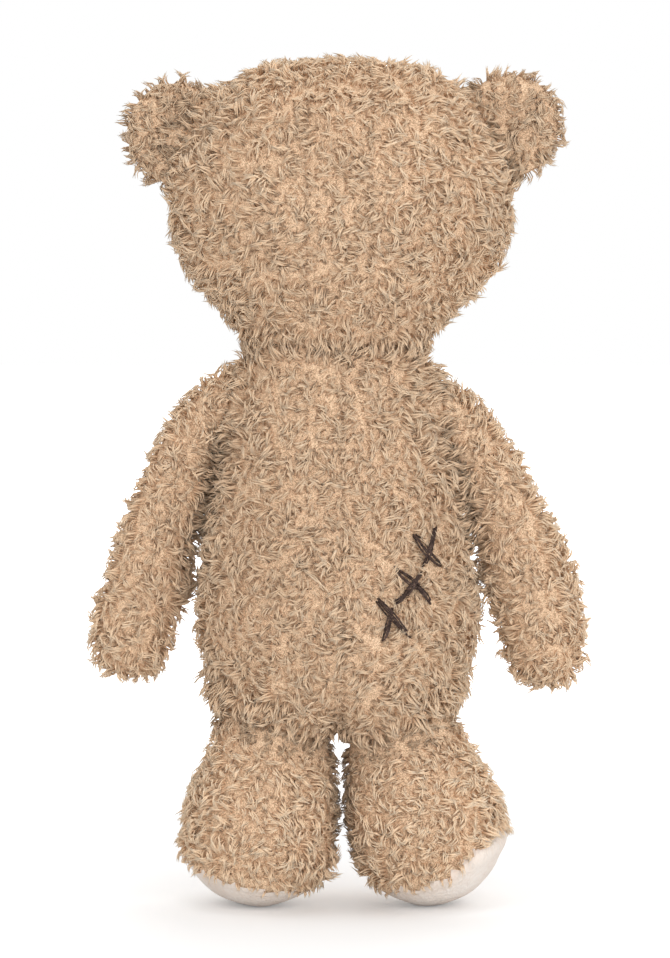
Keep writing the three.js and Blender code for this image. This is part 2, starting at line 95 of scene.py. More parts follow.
# Each cross is a few strokes of yarn, given by the (x, z) in mm where the needle came out and went in, and
# the share of the full width that the stroke has.
STROKES = {
    "back_cross_stitch_upper": [
        ((-27.6, 142.6), (-38.4, 129.6), 1.0),
        ((-36.3, 144.9), (-31.5, 130.3), 0.6),
    ],
    "back_cross_stitch_middle": [
        ((-20.0, 131.0), (-31.2, 122.2), 1.0),
        ((-29.4, 124.0), (-34.6, 116.6), 0.6),
        ((-31.1, 129.3), (-24.3, 120.1), 0.7),
        ((-25.9, 121.7), (-20.1, 117.7), 0.6),
    ],
    "back_cross_stitch_lower": [
        ((-13.9, 119.9), (-27.1, 104.7), 1.0),
        ((-20.1, 116.1), (-16.3, 103.3), 0.6),
    ],
}


def length(name, description, default):
    """A length in metres that a user may change."""
    return FloatProperty(name=name, description=description, default=default, unit="LENGTH", precision=5)


def colour(name, description, default):
    """A colour that a user may change."""
    return FloatVectorProperty(name=name, description=description, default=default, subtype="COLOR", size=3)


class PlushSettings(PropertyGroup):
    """The curly plush of the head, ears, body, arms and legs."""

    cell: length("Cell", "Grid size of the skin's mesh", 3.6 * MM)
    depth: length("Skin depth", "How far the cloth lies under the pile's surface", 3.3 * MM)
    wall: length("Cloth thickness", "Thickness of the backing cloth", 1.2 * MM)
    pile: length("Pile", "Length of the longest lock", 7.8 * MM)
    spacing: length("Spacing", "Least distance between two locks", 2.8 * MM)
    foot_spread: length("Foot spread", "How far the cloth of the feet bulges out over the soles", 2.2 * MM)
    swell: length("Swell", "Most that the filling may push the cloth out", 1.6 * MM)
    pressure: FloatProperty(name="Pressure", description="Push of the filling on the cloth", default=4.0)
    seed: IntProperty(name="Seed", description="Seed of the pile's random turns", default=7)
    # root is darker than the wisps: painted shade deep in the pile.
    root: colour("Root", "Colour deep in the pile", (0.74, 0.495, 0.315))
    shade: colour("Shaded wisp", "Colour of the darkest wisps", (0.83, 0.595, 0.395))
    wisp: colour("Wisp", "Colour of a middling wisp", (0.93, 0.705, 0.49))
    tip: colour("Tip", "Colour of the palest tips", (0.98, 0.84, 0.65))


class VelourSettings(PropertyGroup):
    """The velour of the soles."""

    pale: colour("Pale", "Colour of the brushed velour", (0.94, 0.865, 0.80))
    worn: colour("Worn", "Colour where the velour is rubbed and soiled", (0.85, 0.725, 0.63))


class MuzzleSettings(PropertyGroup):
    """The short pile of the muzzle and the embroidery on it."""

    depth: length("Skin depth", "How far the cloth lies under the pile's surface", 1.3 * MM)
    pile: length("Pile", "Length of the muzzle's locks", 3.4 * MM)
    spacing: length("Spacing", "Least distance between two locks", 1.95 * MM)
    thread: length("Thread", "Thickness of the embroidery thread", 0.62 * MM)
    brown: colour("Thread colour", "Colour of the embroidery", (0.045, 0.022, 0.014))


class YarnSettings(PropertyGroup):
    """The dark yarn of the mend."""

    thickness: length("Thickness", "Width of the bundle of strands in one stroke", 2.2 * MM)
    strands: IntProperty(name="Strands", description="Strands side by side in one stroke", default=4)
    pitch: length("Pitch", "Length of one full turn of a strand's plies", 4.2 * MM)
    tuck: length("Tuck", "How deep the ends go into the cloth", 4.5 * MM)
    dark: colour("Dark", "Colour of the yarn", (0.026, 0.015, 0.012))
    rubbed: colour("Rubbed", "Colour of its rubbed fibres", (0.12, 0.075, 0.06))


class StageSettings(PropertyGroup):
    """The floor, the lamps and the camera."""

    distance: length("Camera distance", "How far the camera stands from the bear", 2.2)
    elevation: FloatProperty(
        name="Elevation", description="Height of the camera over the horizon",
        default=math.radians(4), subtype="ANGLE",
    )
    pixel: length("Pixel", "Size that one pixel of the picture shows at the bear", 0.375 * MM)
    fill: FloatProperty(name="Fill", description="Strength of the even light all round", default=0.66)
    key: FloatProperty(name="Key", description="Power of the main lamp", default=22.0, unit="POWER")


SETTINGS = {
    "bear_plush": PlushSettings,
    "bear_velour": VelourSettings,
    "bear_muzzle": MuzzleSettings,
    "bear_yarn": YarnSettings,
    "bear_stage": StageSettings,
}


# Node trees

def add(tree, kind, inputs=(), **settings):
    """Adds a node with its settings; an input takes a value or another node's output."""
    made = tree.nodes.new(kind)
    for name, value in settings.items():
        setattr(made, name, value)
    for key, value in dict(inputs).items():
        if isinstance(value, bpy.types.NodeSocket):
            tree.links.new(value, made.inputs[key])
        else:
            made.inputs[key].default_value = value
    return made


def maths(tree, operation, *values):
    """The output of a Math node."""
    return add(tree, "ShaderNodeMath", dict(enumerate(values)), operation=operation).outputs[0]


def vectors(tree, operation, *values):
    """The vector output of a Vector Math node."""
    node = add(tree, "ShaderNodeVectorMath", dict(enumerate(values)), operation=operation)
    return node.outputs[0]


def sockets(tree, inputs, outputs):
    """Names a tree's inputs and outputs, each given as name: socket type or (socket type, default)."""
    for way, named in (("INPUT", inputs), ("OUTPUT", outputs)):
        for name, kind in named.items():
            kind, default = kind if isinstance(kind, tuple) else (kind, None)
            socket = tree.interface.new_socket(name, in_out=way, socket_type="NodeSocket" + kind)
            if default is not None:
                socket.default_value = default


def geometry_tree(name, inputs):
    """A new Geometry Nodes tree with named inputs, and its two ends."""
    tree = bpy.data.node_groups.new(name, "GeometryNodeTree")
    sockets(tree, {"Geometry": "Geometry", **inputs}, {"Geometry": "Geometry"})
    return tree, tree.nodes.new("NodeGroupInput"), tree.nodes.new("NodeGroupOutput")


def grown(mesh, tree, values, name):
    """The plain mesh that a Geometry Nodes tree makes from a mesh."""
    carrier = bpy.data.objects.new("carrier", mesh)
    bpy.context.scene.collection.objects.link(carrier)
    modifier = carrier.modifiers.new("grow", "NODES")
    modifier.node_group = tree
    for item in tree.interface.items_tree:
        if item.in_out == "INPUT" and item.name in values:
            modifier[item.identifier] = values[item.name]
    return applied(carrier, name)


def applied(carrier, name):
    """A mesh with its carrier's modifiers applied; the carrier is removed."""
    graph = bpy.context.evaluated_depsgraph_get()
    evaluated = carrier.evaluated_get(graph)
    made = bpy.data.meshes.new_from_object(evaluated, preserve_all_data_layers=True, depsgraph=graph)
    made.name = name
    bpy.data.objects.remove(carrier)
    return made


# Mesh helpers

def merged(names):
    """One mesh of the named solids' surfaces, with the points that lie together merged."""
    work = bmesh.new()
    for name in names:
        work.from_mesh(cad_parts[name].data)
    bmesh.ops.remove_doubles(work, verts=work.verts, dist=0.001 * MM)
    mesh = bpy.data.meshes.new("merged")
    work.to_mesh(mesh)
    work.free()
    mesh.materials.clear()
    return mesh


def largest_island(mesh):
    """Leaves only the island of the mesh that has the most faces, so no bubble stays inside it."""
    work = bmesh.new()
    work.from_mesh(mesh)
    left = set(work.faces)
    islands = []
    while left:
        island = [left.pop()]
        for face in island:
            for edge in face.edges:
                for other in edge.link_faces:
                    if other in left:
                        left.discard(other)
                        island.append(other)
        islands.append(island)
    islands.sort(key=len)
    for island in islands[:-1]:
        bmesh.ops.delete(work, geom=island, context="FACES")
    work.to_mesh(mesh)
    work.free()


def wrapped(names, cell, smoothing):
    """One closed, even, smooth surface round the named solids."""
    carrier = bpy.data.objects.new("wrap", merged(names))
    bpy.context.scene.collection.objects.link(carrier)
    remesh = carrier.modifiers.new("remesh", "REMESH")
    remesh.mode = "VOXEL"
    remesh.voxel_size = cell
    mesh = applied(carrier, "wrapped")
    largest_island(mesh)
    return smoothed(mesh, smoothing)


def smoothed(mesh, times):
    """The mesh with its bumps smoothed away."""
    carrier = bpy.data.objects.new("smooth", mesh)
    bpy.context.scene.collection.objects.link(carrier)
    smooth = carrier.modifiers.new("smooth", "SMOOTH")
    smooth.factor = 0.5
    smooth.iterations = times
    return applied(carrier, "smoothed")


def surface_of(names):
    """A search tree over the surface of the named solids."""
    mesh = merged(names)
    tree = BVHTree.FromPolygons([v.co for v in mesh.vertices], [p.vertices for p in mesh.polygons])
    bpy.data.meshes.remove(mesh)
    return tree


def distances(tree, points):
    """How far each point is from a surface."""
    return np.array([tree.find_nearest(Vector(p))[3] for p in points])


def eased(values, low, high):
    """0 below low, 1 above high, and a smooth step between."""
    t = np.clip((values - low) / (high - low), 0, 1)
    return t * t * (3 - 2 * t)


def hump(values, middle, spread):
    """1 at the middle, and less to both sides of it."""
    return np.exp(-(((values - middle) / spread) ** 2))


def points_of(mesh):
    """The mesh's points as an array."""
    found = np.empty(len(mesh.vertices) * 3, np.float32)
    mesh.vertices.foreach_get("co", found)
    return found.reshape(-1, 3).astype(float)


def normals_of(mesh):
    """The mesh's point normals as an array."""
    found = np.empty(len(mesh.vertices) * 3, np.float32)
    mesh.vertex_normals.foreach_get("vector", found)
    return found.reshape(-1, 3).astype(float)


def move_points(mesh, points):
    """Puts the mesh's points in new places."""
    mesh.vertices.foreach_set("co", points.astype(np.float32).ravel())
    mesh.update()


def draw_in(mesh, amount):
    """Draws a closed mesh in along its normals, but less where it is thin, so it never folds through."""
    tree = BVHTree.FromPolygons([v.co for v in mesh.vertices], [p.vertices for p in mesh.polygons])
    points, normals = points_of(mesh), normals_of(mesh)
    through = [tree.ray_cast(Vector(p - n * 0.05 * MM), Vector(-n))[3] for p, n in zip(points, normals)]
    thickness = np.array([found or 0 for found in through])
    move_points(mesh, points - normals * np.minimum(amount, 0.4 * thickness)[:, None])


def store(mesh, name, kind, values):
    """Stores one value for each point of the mesh."""
    layer = mesh.attributes.new(name, kind, "POINT")
    field = "vector" if kind == "FLOAT_VECTOR" else "value"
    layer.data.foreach_set(field, values.astype(np.float32).ravel())


def swirl(points, size, seed):
    """A smooth random vector for each point, that changes over about the given size."""
    noise.seed_set(seed)
    offset = Vector((seed * 1.7, seed * 0.9, seed * 2.3))
    return np.array([noise.noise_vector(Vector(p) / size + offset) for p in points])


def patches(points, size, seed):
    """A smooth random number from about -1 to 1 for each point."""
    offset = Vector((seed * 2.1, seed * 1.3, seed * 0.7))
    return np.array([noise.noise(Vector(p) / size + offset) for p in points]) * 2


def finish_piece(name, mesh, nodes):
    """Makes a mesh a finished piece of the bear, in place of its plain solids."""
    mesh.name = name
    mesh.polygons.foreach_set("use_smooth", [True] * len(mesh.polygons))
    piece = bpy.data.objects.new(name, mesh)
    bpy.context.scene.collection.objects.link(piece)
    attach(piece, "root")
    if nodes:
        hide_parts(*nodes)
    return piece


# Stuffed forms

# How a region is wrapped: the share of the cell that the remesh takes, and the rounds of smoothing.
FINE_WRAP = (0.7, 5)
COARSE_WRAP = (1, 8)

# A range is a pair of lengths between which something comes in or fades out. Those that follow are
# distances from the nearest other piece.
COVER_REACH = 0.5 * MM
CREASE_RANGE = (2 * MM, 8 * MM)
SEATED_RANGE = (0.6 * MM, 3 * MM)
CLOTH_RANGE = (0.5 * MM, 3.5 * MM)
LIFT_RANGE = (0.4 * MM, 1.5 * MM)
SQUEEZED_RANGE = (3 * MM, 9 * MM)
HELD_RANGE = (1.5 * MM, 7 * MM)

# How strongly painted shade darkens the pile's colour at a region's joins (the armpits, where the legs meet
# the body and each other, and the ear bases), and the range in which that fades out.
JOIN_SHADE = {
    "ear": (1.0, (1 * MM, 12 * MM)),
    "leg": (4.0, (1 * MM, 17 * MM)),
    "body": (1.7, (0.8 * MM, 5.5 * MM)),
    "arm": (1.7, (0.8 * MM, 5.5 * MM)),
}
CREASE_SHARE = {"ear": 0.4}
DEPTH_SHARE = {"ear": 0.78, "head": 0.85}

# The small forms that the cloth has beyond the plain solids: the heights or sides at which each comes in,
# its middle, how far it spreads and how far it stands out.
CLOSER = 2.6  # mm by which the arms come closer to the body, and the legs to each other
# ARMPIT_FROM and ARMPIT_TO: the heights between which the painted shade of the armpits comes in and fades
# out.
ARMPIT_FROM = (105 * MM, 118 * MM)
ARMPIT_TO = (170 * MM, 188 * MM)
ARM_GAP = {"middle": 120 * MM, "spread": 14 * MM}
ARM_GAP_OPENS = (0.5 * MM, 2.5 * MM)
ARM_GAP_ENDS = (5 * MM, 12 * MM)
ELBOW = {"middle": 126 * MM, "spread": 17 * MM}
ELBOW_SIDE = (66 * MM, 80 * MM)
ELBOW_BULGE = 2.8 * MM
FOOT_FROM = (0.3 * MM, 5 * MM)
FOOT_TO = (12 * MM, 34 * MM)
KNEE = {"middle": 42 * MM, "spread": 24 * MM}
KNEE_SIDE = (8 * MM, 16 * MM)
BEHIND = (5 * MM, 25 * MM)
LOBES = {"middle": 12 * MM, "spread": 9 * MM}
LOBES_HEIGHT = (68 * MM, 92 * MM)
LOBE_DROP = 3 * MM
GROOVE_WIDTH = (0.5 * MM, 3.5 * MM)
GROOVE_HEIGHT = (70 * MM, 105 * MM)
GROOVE_DEPTH = 1.8 * MM

# The velour sole is the last panel of a leg. The right one shows further up at its outer back.
SOLE = 2
SOLE_EDGE = (0.3 * MM, 5 * MM)
VELOUR_DEPTH = 0.25 * MM
SOLE_TURN = 5 * MM
SOLE_TURN_SIDE = (36 * MM, 58 * MM)
SOLE_TURN_BACK = (-12 * MM, 12 * MM)
BY_SOLE = (3 * MM, 9 * MM)
BY_GROUND = (3 * MM, 11 * MM)
BY_EYE = (1 * MM, 7 * MM)
BY_THREAD = (1 * MM, 4 * MM)


def swollen(mesh, held, settings):
    """Lets the filling's pressure swell the cloth between the points that are held, up to a limit."""
    before = points_of(mesh)
    carrier = bpy.data.objects.new("swelling", mesh)
    scene = bpy.context.scene
    scene.collection.objects.link(carrier)
    group = carrier.vertex_groups.new(name="held")
    for index in np.nonzero(held > 0)[0]:
        group.add([int(index)], float(held[index]), "REPLACE")
    cloth = carrier.modifiers.new("cloth", "CLOTH")
    cloth.settings.quality = 4
    cloth.settings.mass = 0.3
    cloth.settings.use_pressure = True
    cloth.settings.uniform_pressure_force = settings.pressure
    cloth.settings.vertex_group_mass = "held"
    cloth.settings.effector_weights.gravity = 0
    cloth.collision_settings.use_collision = False
    for step in range(1, SWELL_STEPS + 1):
        scene.frame_set(step)
    made = applied(carrier, "swollen")
    moved = points_of(made) - before
    reach = np.linalg.norm(moved, axis=1, keepdims=True)
    moved *= np.minimum(1, settings.swell / np.maximum(reach, TINY))
    move_points(made, before + moved)
    scene.frame_set(1)
    return made


def shied(points, names, near, far):
    """How close each point is to the named solids, from 1 to 0, and the way straight away from them."""
    tree = surface_of(names)
    gap = points - np.array([tree.find_nearest(Vector(p))[0] for p in points])
    reach = np.linalg.norm(gap, axis=1)
    return 1 - eased(reach, near, far), gap / np.maximum(reach, TINY)[:, None]


class Form:
    """A region's stuffed skin, and arrays that hold one entry for each of its points.

    outer is where the pile ends and depth how far the cloth lies under it. clear is the distance to the
    nearest other piece and toward the way to it. panel is the number of the panel and seam the distance to
    the nearest seam. room is the share of the pile that fits, crease how far it leans into a join, and under
    how much painted shade darkens the pile's colour there.
    """

    def __init__(self, region, settings):
        self.region = region
        self.part = region.split("_")[0]
        self.panels = REGIONS[region]["panels"]
        self.own = self.panels + REGIONS[region]["inside"]
        share, smoothing = FINE_WRAP if self.part in ("ear", "muzzle") else COARSE_WRAP
        self.mesh = wrapped(self.own, settings.cell * share, smoothing)
        self.outer = points_of(self.mesh)
        self.normals = normals_of(self.mesh)
        self.groove = np.zeros(len(self.outer))
        self.look_round()
        if self.part == "arm":
            self.shape_arm()
        self.find_seams()
        self.set_depth(settings)
        if self.part == "leg":
            self.shape_leg(settings)
        self.seat()
        if self.part == "body":
            self.shape_body()
        if self.part == "leg":
            self.depth *= self.velour
            self.depth += VELOUR_DEPTH * (1 - self.velour)
        self.lay_cloth(settings)
        self.make_room()

    def look_round(self):
        """Finds the nearest other piece, where it covers the skin, how the pile meets it and how much
        painted shade darkens the pile there.
        """
        apart = self.own + FILLINGS + WASHERS + CROSSES
        others = surface_of([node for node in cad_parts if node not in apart])
        self.clear = distances(others, self.outer)
        covered = [
            others.ray_cast(Vector(point), Vector(normal), COVER_REACH)[0] is not None
            for point, normal in zip(self.outer, self.normals)
        ]
        self.room = np.where(covered, 0.0, 1.0)
        toward = np.array([others.find_nearest(Vector(point))[0] for point in self.outer]) - self.outer
        self.toward = toward / np.maximum(np.linalg.norm(toward, axis=1, keepdims=True), TINY)
        self.crease = (1 - eased(self.clear, *CREASE_RANGE)) * CREASE_SHARE.get(self.part, 1.0)
        # under is painted shade: it darkens the pile's colour near another piece, in the armpits, at the leg
        # tops and at the ear bases.
        strength, fading = JOIN_SHADE.get(self.part, (0.0, CREASE_RANGE))
        height = self.outer[:, 2]
        armpit = 1.0
        if self.part in ("body", "arm"):
            armpit = eased(height, *ARMPIT_FROM) * (1 - eased(height, *ARMPIT_TO))
        self.under = strength * armpit * (1 - eased(self.clear, *fading))

    def shape_arm(self):
        """Brings an arm closer to the body below the armpit, and fills out the right elbow."""
        height = self.outer[:, 2]
        gap = hump(height, **ARM_GAP) * eased(self.clear, *ARM_GAP_OPENS)
        gap = gap * (1 - eased(self.clear, *ARM_GAP_ENDS))
        self.outer = self.outer + self.toward * gap[:, None] * CLOSER * MM
        if self.region == "arm_right":
            elbow = hump(height, **ELBOW) * eased(-self.outer[:, 0], *ELBOW_SIDE)
            self.outer[:, 0] -= ELBOW_BULGE * elbow

    def find_seams(self):
        """Finds the panel of each point and the distance to the nearest seam."""
        to_panel = np.array([distances(surface_of([panel]), self.outer) for panel in self.panels])
        if self.region == "leg_right":
            turned = eased(-self.outer[:, 0], *SOLE_TURN_SIDE) * eased(self.outer[:, 1], *SOLE_TURN_BACK)
            to_panel[SOLE] = np.maximum(to_panel[SOLE] - SOLE_TURN * turned, 0)
            to_panel[:SOLE] += SOLE_TURN * turned
        self.panel = to_panel.argmin(axis=0)
        self.seam = np.sort(to_panel, axis=0)[1] if len(to_panel) > 1 else np.full(len(self.outer), 1.0)
        if self.part == "leg":
            self.velour = eased(to_panel[SOLE], *SOLE_EDGE)

    def set_depth(self, settings):
        """Sets how far the cloth lies under the pile's surface, which is less under the embroidery."""
        self.depth = settings.depth * np.ones(len(self.outer)) * DEPTH_SHARE.get(self.part, 1.0)
        if self.part == "muzzle":
            self.by_thread, self.aside = shied(self.outer, ["nose", "mouth"], *BY_THREAD)
            self.depth = bpy.context.scene.bear_muzzle.depth * (1 - 0.7 * self.by_thread)

    def shape_leg(self, settings):
        """Spreads the foot out over its sole, and brings the inner sides of the legs together."""
        height = self.outer[:, 2]
        bulge = eased(height, *FOOT_FROM) * (1 - eased(height, *FOOT_TO))
        self.outer = self.outer + self.normals * [1, 1, 0] * bulge[:, None] * settings.foot_spread
        inner = (1 - eased(np.abs(self.outer[:, 0]), *KNEE_SIDE)) * hump(height, **KNEE)
        self.outer[:, 0] -= np.sign(self.outer[:, 0]) * inner * CLOSER * MM

    def seat(self):
        """Lays the skin on its own solids, with no room for pile, where another piece meets it."""
        own = surface_of(self.own)
        exact = np.array([own.find_nearest(Vector(point))[0] for point in self.outer])
        apart = eased(self.clear, *SEATED_RANGE)[:, None]
        self.outer = exact * (1 - apart) + self.outer * apart
        self.depth *= eased(self.clear, *CLOTH_RANGE)
        self.depth -= 0.12 * MM * (1 - eased(self.clear, *LIFT_RANGE))

    def shape_body(self):
        """Hangs the body's lower edge in two lobes, with a groove at the centre-back seam."""
        behind = eased(self.outer[:, 1], *BEHIND)
        low = 1 - eased(self.outer[:, 2], *LOBES_HEIGHT)
        self.outer[:, 2] -= LOBE_DROP * behind * low * hump(np.abs(self.outer[:, 0]), **LOBES)
        lowest = 1 - eased(self.outer[:, 2], *GROOVE_HEIGHT)
        self.groove = (1 - eased(self.seam, *GROOVE_WIDTH)) * behind * lowest
        self.depth += GROOVE_DEPTH * self.groove

    def lay_cloth(self, settings):
        """Lays the skin under the pile's surface, and lets the filling swell it out again."""
        move_points(self.mesh, self.outer - self.normals * self.depth[:, None])
        if self.part != "muzzle":
            held = 1 - eased(np.minimum(self.seam, self.clear), *HELD_RANGE)
            if self.part == "leg":
                held = np.maximum(held, 1 - self.velour)
            self.mesh = swollen(self.mesh, held, settings)

    def make_room(self):
        """Shortens and turns the pile at the groove, the joins, the ground, the soles, eyes and threads, and
        paints shade into the groove.
        """
        self.room *= 1 - 0.4 * self.groove
        # The groove at the centre-back seam gets painted shade as well.
        self.under = self.under + 1.1 * self.groove
        if self.part in ("body", "arm"):
            self.room *= 1 + 0.2 * (1 - eased(self.clear, *SQUEEZED_RANGE))
        if self.part == "leg":
            self.room *= 1 - 0.08 * self.under
            by_sole, away = shied(self.outer, [self.panels[SOLE]], *BY_SOLE)
            self.turn_pile(by_sole, -away)
            self.crease = np.maximum(self.crease, by_sole)
            self.room *= 1 - 0.2 * by_sole
            self.room *= 0.35 + 0.65 * eased(self.outer[:, 2], *BY_GROUND)
        if self.part == "head":
            by_eye, away = shied(self.outer, ["eye_left", "eye_right"], *BY_EYE)
            self.turn_pile(by_eye, away)
            self.room *= 1 - 0.5 * by_eye
        if self.part == "muzzle":
            self.turn_pile(self.by_thread, self.aside)
            self.crease = np.maximum(self.crease, self.by_thread)
            self.room *= 1 - 0.45 * self.by_thread

    def turn_pile(self, amount, way):
        """Turns the way that the pile leans in a join to another way, by an amount from 0 to 1."""
        self.toward = self.toward * (1 - amount[:, None]) + way * amount[:, None]


def stuffed_form(region):
    """The region's form, which is made only once."""
    if region not in FORMS:
        FORMS[region] = Form(region, bpy.context.scene.bear_plush)
    return FORMS[region]


def panel_patch(form, panel_index):
    """The faces of a form that belong to one panel, and the form's points that they use."""
    work = bmesh.new()
    work.from_mesh(form.mesh)
    work.verts.ensure_lookup_table()
    away = []
    for face in work.faces:
        votes = [form.panel[v.index] for v in face.verts]
        if max(sorted(set(votes)), key=votes.count) != panel_index:
            away.append(face)
    index = work.verts.layers.int.new("form_point")
    for vert in work.verts:
        vert[index] = vert.index
    bmesh.ops.delete(work, geom=away, context="FACES")
    patch = bpy.data.meshes.new("patch")
    work.to_mesh(patch)
    kept = np.array([v[index] for v in work.verts])
    work.free()
    return patch, kept


def walled(patch, thickness):
    """The patch as a closed shell of cloth."""
    carrier = bpy.data.objects.new("wall", patch.copy())
    bpy.context.scene.collection.objects.link(carrier)
    solidify = carrier.modifiers.new("wall", "SOLIDIFY")
    solidify.thickness = thickness
    solidify.offset = -1
    return applied(carrier, "walled")


# Pile

GATHER = 0.7  # how far the wisps of one lock draw together towards their tips
TAPER = 0.45  # the share of its width that a wisp loses towards its tip
CORNERS = 3  # of a wisp's ring
LONG_LOCKS = 16
SHORT_LOCKS = 6
TURN_IN_CREASE = 0.75
UNEVEN = 0.24  # the share by which a lock may be longer or shorter than its neighbours
SEAM_RANGE = (0.6 * MM, 3.2 * MM)
PRESSED_RANGE = (0.5 * MM, 2.6 * MM)
SWIRLS = [(14 * MM, 1, 1.5), (45 * MM, 2, 0.9)]  # size, seed and strength of the turns in the pile

# What a lock and its wisps may be: angles in degrees, and lengths as shares of the lock's length.
LEAN = (18, 44)
BEND = (62, 104)
ROOT_REACH = (0.1, 0.2)
WISP_LENGTH = (0.72, 1.0)
FINE_WIDTH = (0.07, 0.095)
COARSE_WIDTH = (0.095, 0.135)
WISP_TONE = (0, 0.7)

# How strongly the pile hangs down, and how freely its locks turn.
LONG_LIE = (0.35, 1.7)
SHORT_LIE = (0.8, 0.9)

# What the pile's tone gains in some regions, and what each part's colours are multiplied by. The right arm's
# gain, and the right ear's smaller loss than the left ear's, are painted light on the bear's right side,
# where the light falls; the other gains and the lifts are the plush's own tone.
TONES = {"ear_left": -0.25, "ear_right": -0.15, "leg_left": 0.6, "leg_right": 0.6, "arm_right": 0.15,
         "body": -0.04}
LIFTS = {"head": 0.98, "ear": 0.85, "body": 0.95, "arm": 1.01, "leg": 1.04, "muzzle": 1.22}


def wisp(work, map_layer, root, rng, shape):
    """Adds one closed curved wisp of pile: three-sided rings that taper to a point."""
    reach, lean, bend, heading, curl, width, tone, segments = shape
    place = root.copy()
    drift = Vector((root.x, root.y, 0)) * (-GATHER / segments)
    start = rng.random() * math.tau
    rings = []
    for step in range(segments):
        t = step / segments
        tilt = lean + bend * t
        turn = heading + curl * (t - 0.5)
        along = Vector((math.sin(tilt) * math.cos(turn), math.sin(tilt) * math.sin(turn), math.cos(tilt)))
        across = along.orthogonal().normalized()
        beside = along.cross(across)
        radius = width / 2 * (1 - TAPER * t)
        ring = []
        for corner in range(CORNERS):
            angle = start + corner * math.tau / CORNERS
            outward = across * math.cos(angle) + beside * math.sin(angle)
            ring.append(work.verts.new(place + outward * radius))
        rings.append(ring)
        place = place + along * reach / segments + drift
    point = work.verts.new(place)
    faces = [(work.faces.new(rings[0][::-1]), 0.0, 0.02)]
    for step in range(segments - 1):
        for corner in range(CORNERS):
            after = (corner + 1) % CORNERS
            low, high = rings[step], rings[step + 1]
            face = work.faces.new((low[corner], low[after], high[after], high[corner]))
            faces.append((face, step / segments, (step + 1) / segments))
    last = rings[-1]
    for corner in range(CORNERS):
        face = work.faces.new((last[corner], last[(corner + 1) % CORNERS], point))
        faces.append((face, (segments - 1) / segments, 1.0))
    for face, low, high in faces:
        count = len(face.loops)
        for number, loop in enumerate(face.loops):
            upper = number >= count / 2
            side = 1 if number in (1, 2) else 0
            loop[map_layer].uv = (tone + 0.3 * side, (high if upper else low) * PILE_SHARE)


def make_lock(name, seed, wisps, fine_wisps, curl_limit):
    """A lock of pile: wisps from neighbouring roots that lean and curl together."""
    rng = random.Random(seed)
    work = bmesh.new()
    map_layer = work.loops.layers.uv.new(BAKE_MAP)
    curl = rng.uniform(-curl_limit, curl_limit)
    lean = math.radians(rng.uniform(*LEAN))
    bend = math.radians(rng.uniform(*BEND))
    for number in range(wisps):
        spread = rng.uniform(0, math.tau)
        away = rng.uniform(*ROOT_REACH)
        root = Vector((math.cos(spread) * away, math.sin(spread) * away, -0.05))
        reach = rng.uniform(*WISP_LENGTH)
        shape = (
            reach,
            lean + math.radians(rng.uniform(-9, 9)),
            bend + math.radians(rng.uniform(-10, 10)),
            math.radians(rng.uniform(-12, 12)),
            curl + math.radians(rng.uniform(-20, 20)),
            rng.uniform(*(FINE_WIDTH if number < fine_wisps else COARSE_WIDTH)),
            rng.uniform(*WISP_TONE),
            3 if number < fine_wisps else 2,
        )
        wisp(work, map_layer, root, rng, shape)
    mesh = bpy.data.meshes.new(name)
    work.to_mesh(mesh)
    work.free()
    return mesh


def lock_collection(name, count, wisps, fine_wisps, curl_limit):
    """A collection of differing locks, each one unit long, for a pile to pick from."""
    collection = bpy.data.collections.new(name)
    for number in range(count):
        mesh = make_lock(f"{name}_{number:02d}", number + 11, wisps, fine_wisps, curl_limit)
        collection.objects.link(bpy.data.objects.new(mesh.name, mesh))
    return collection


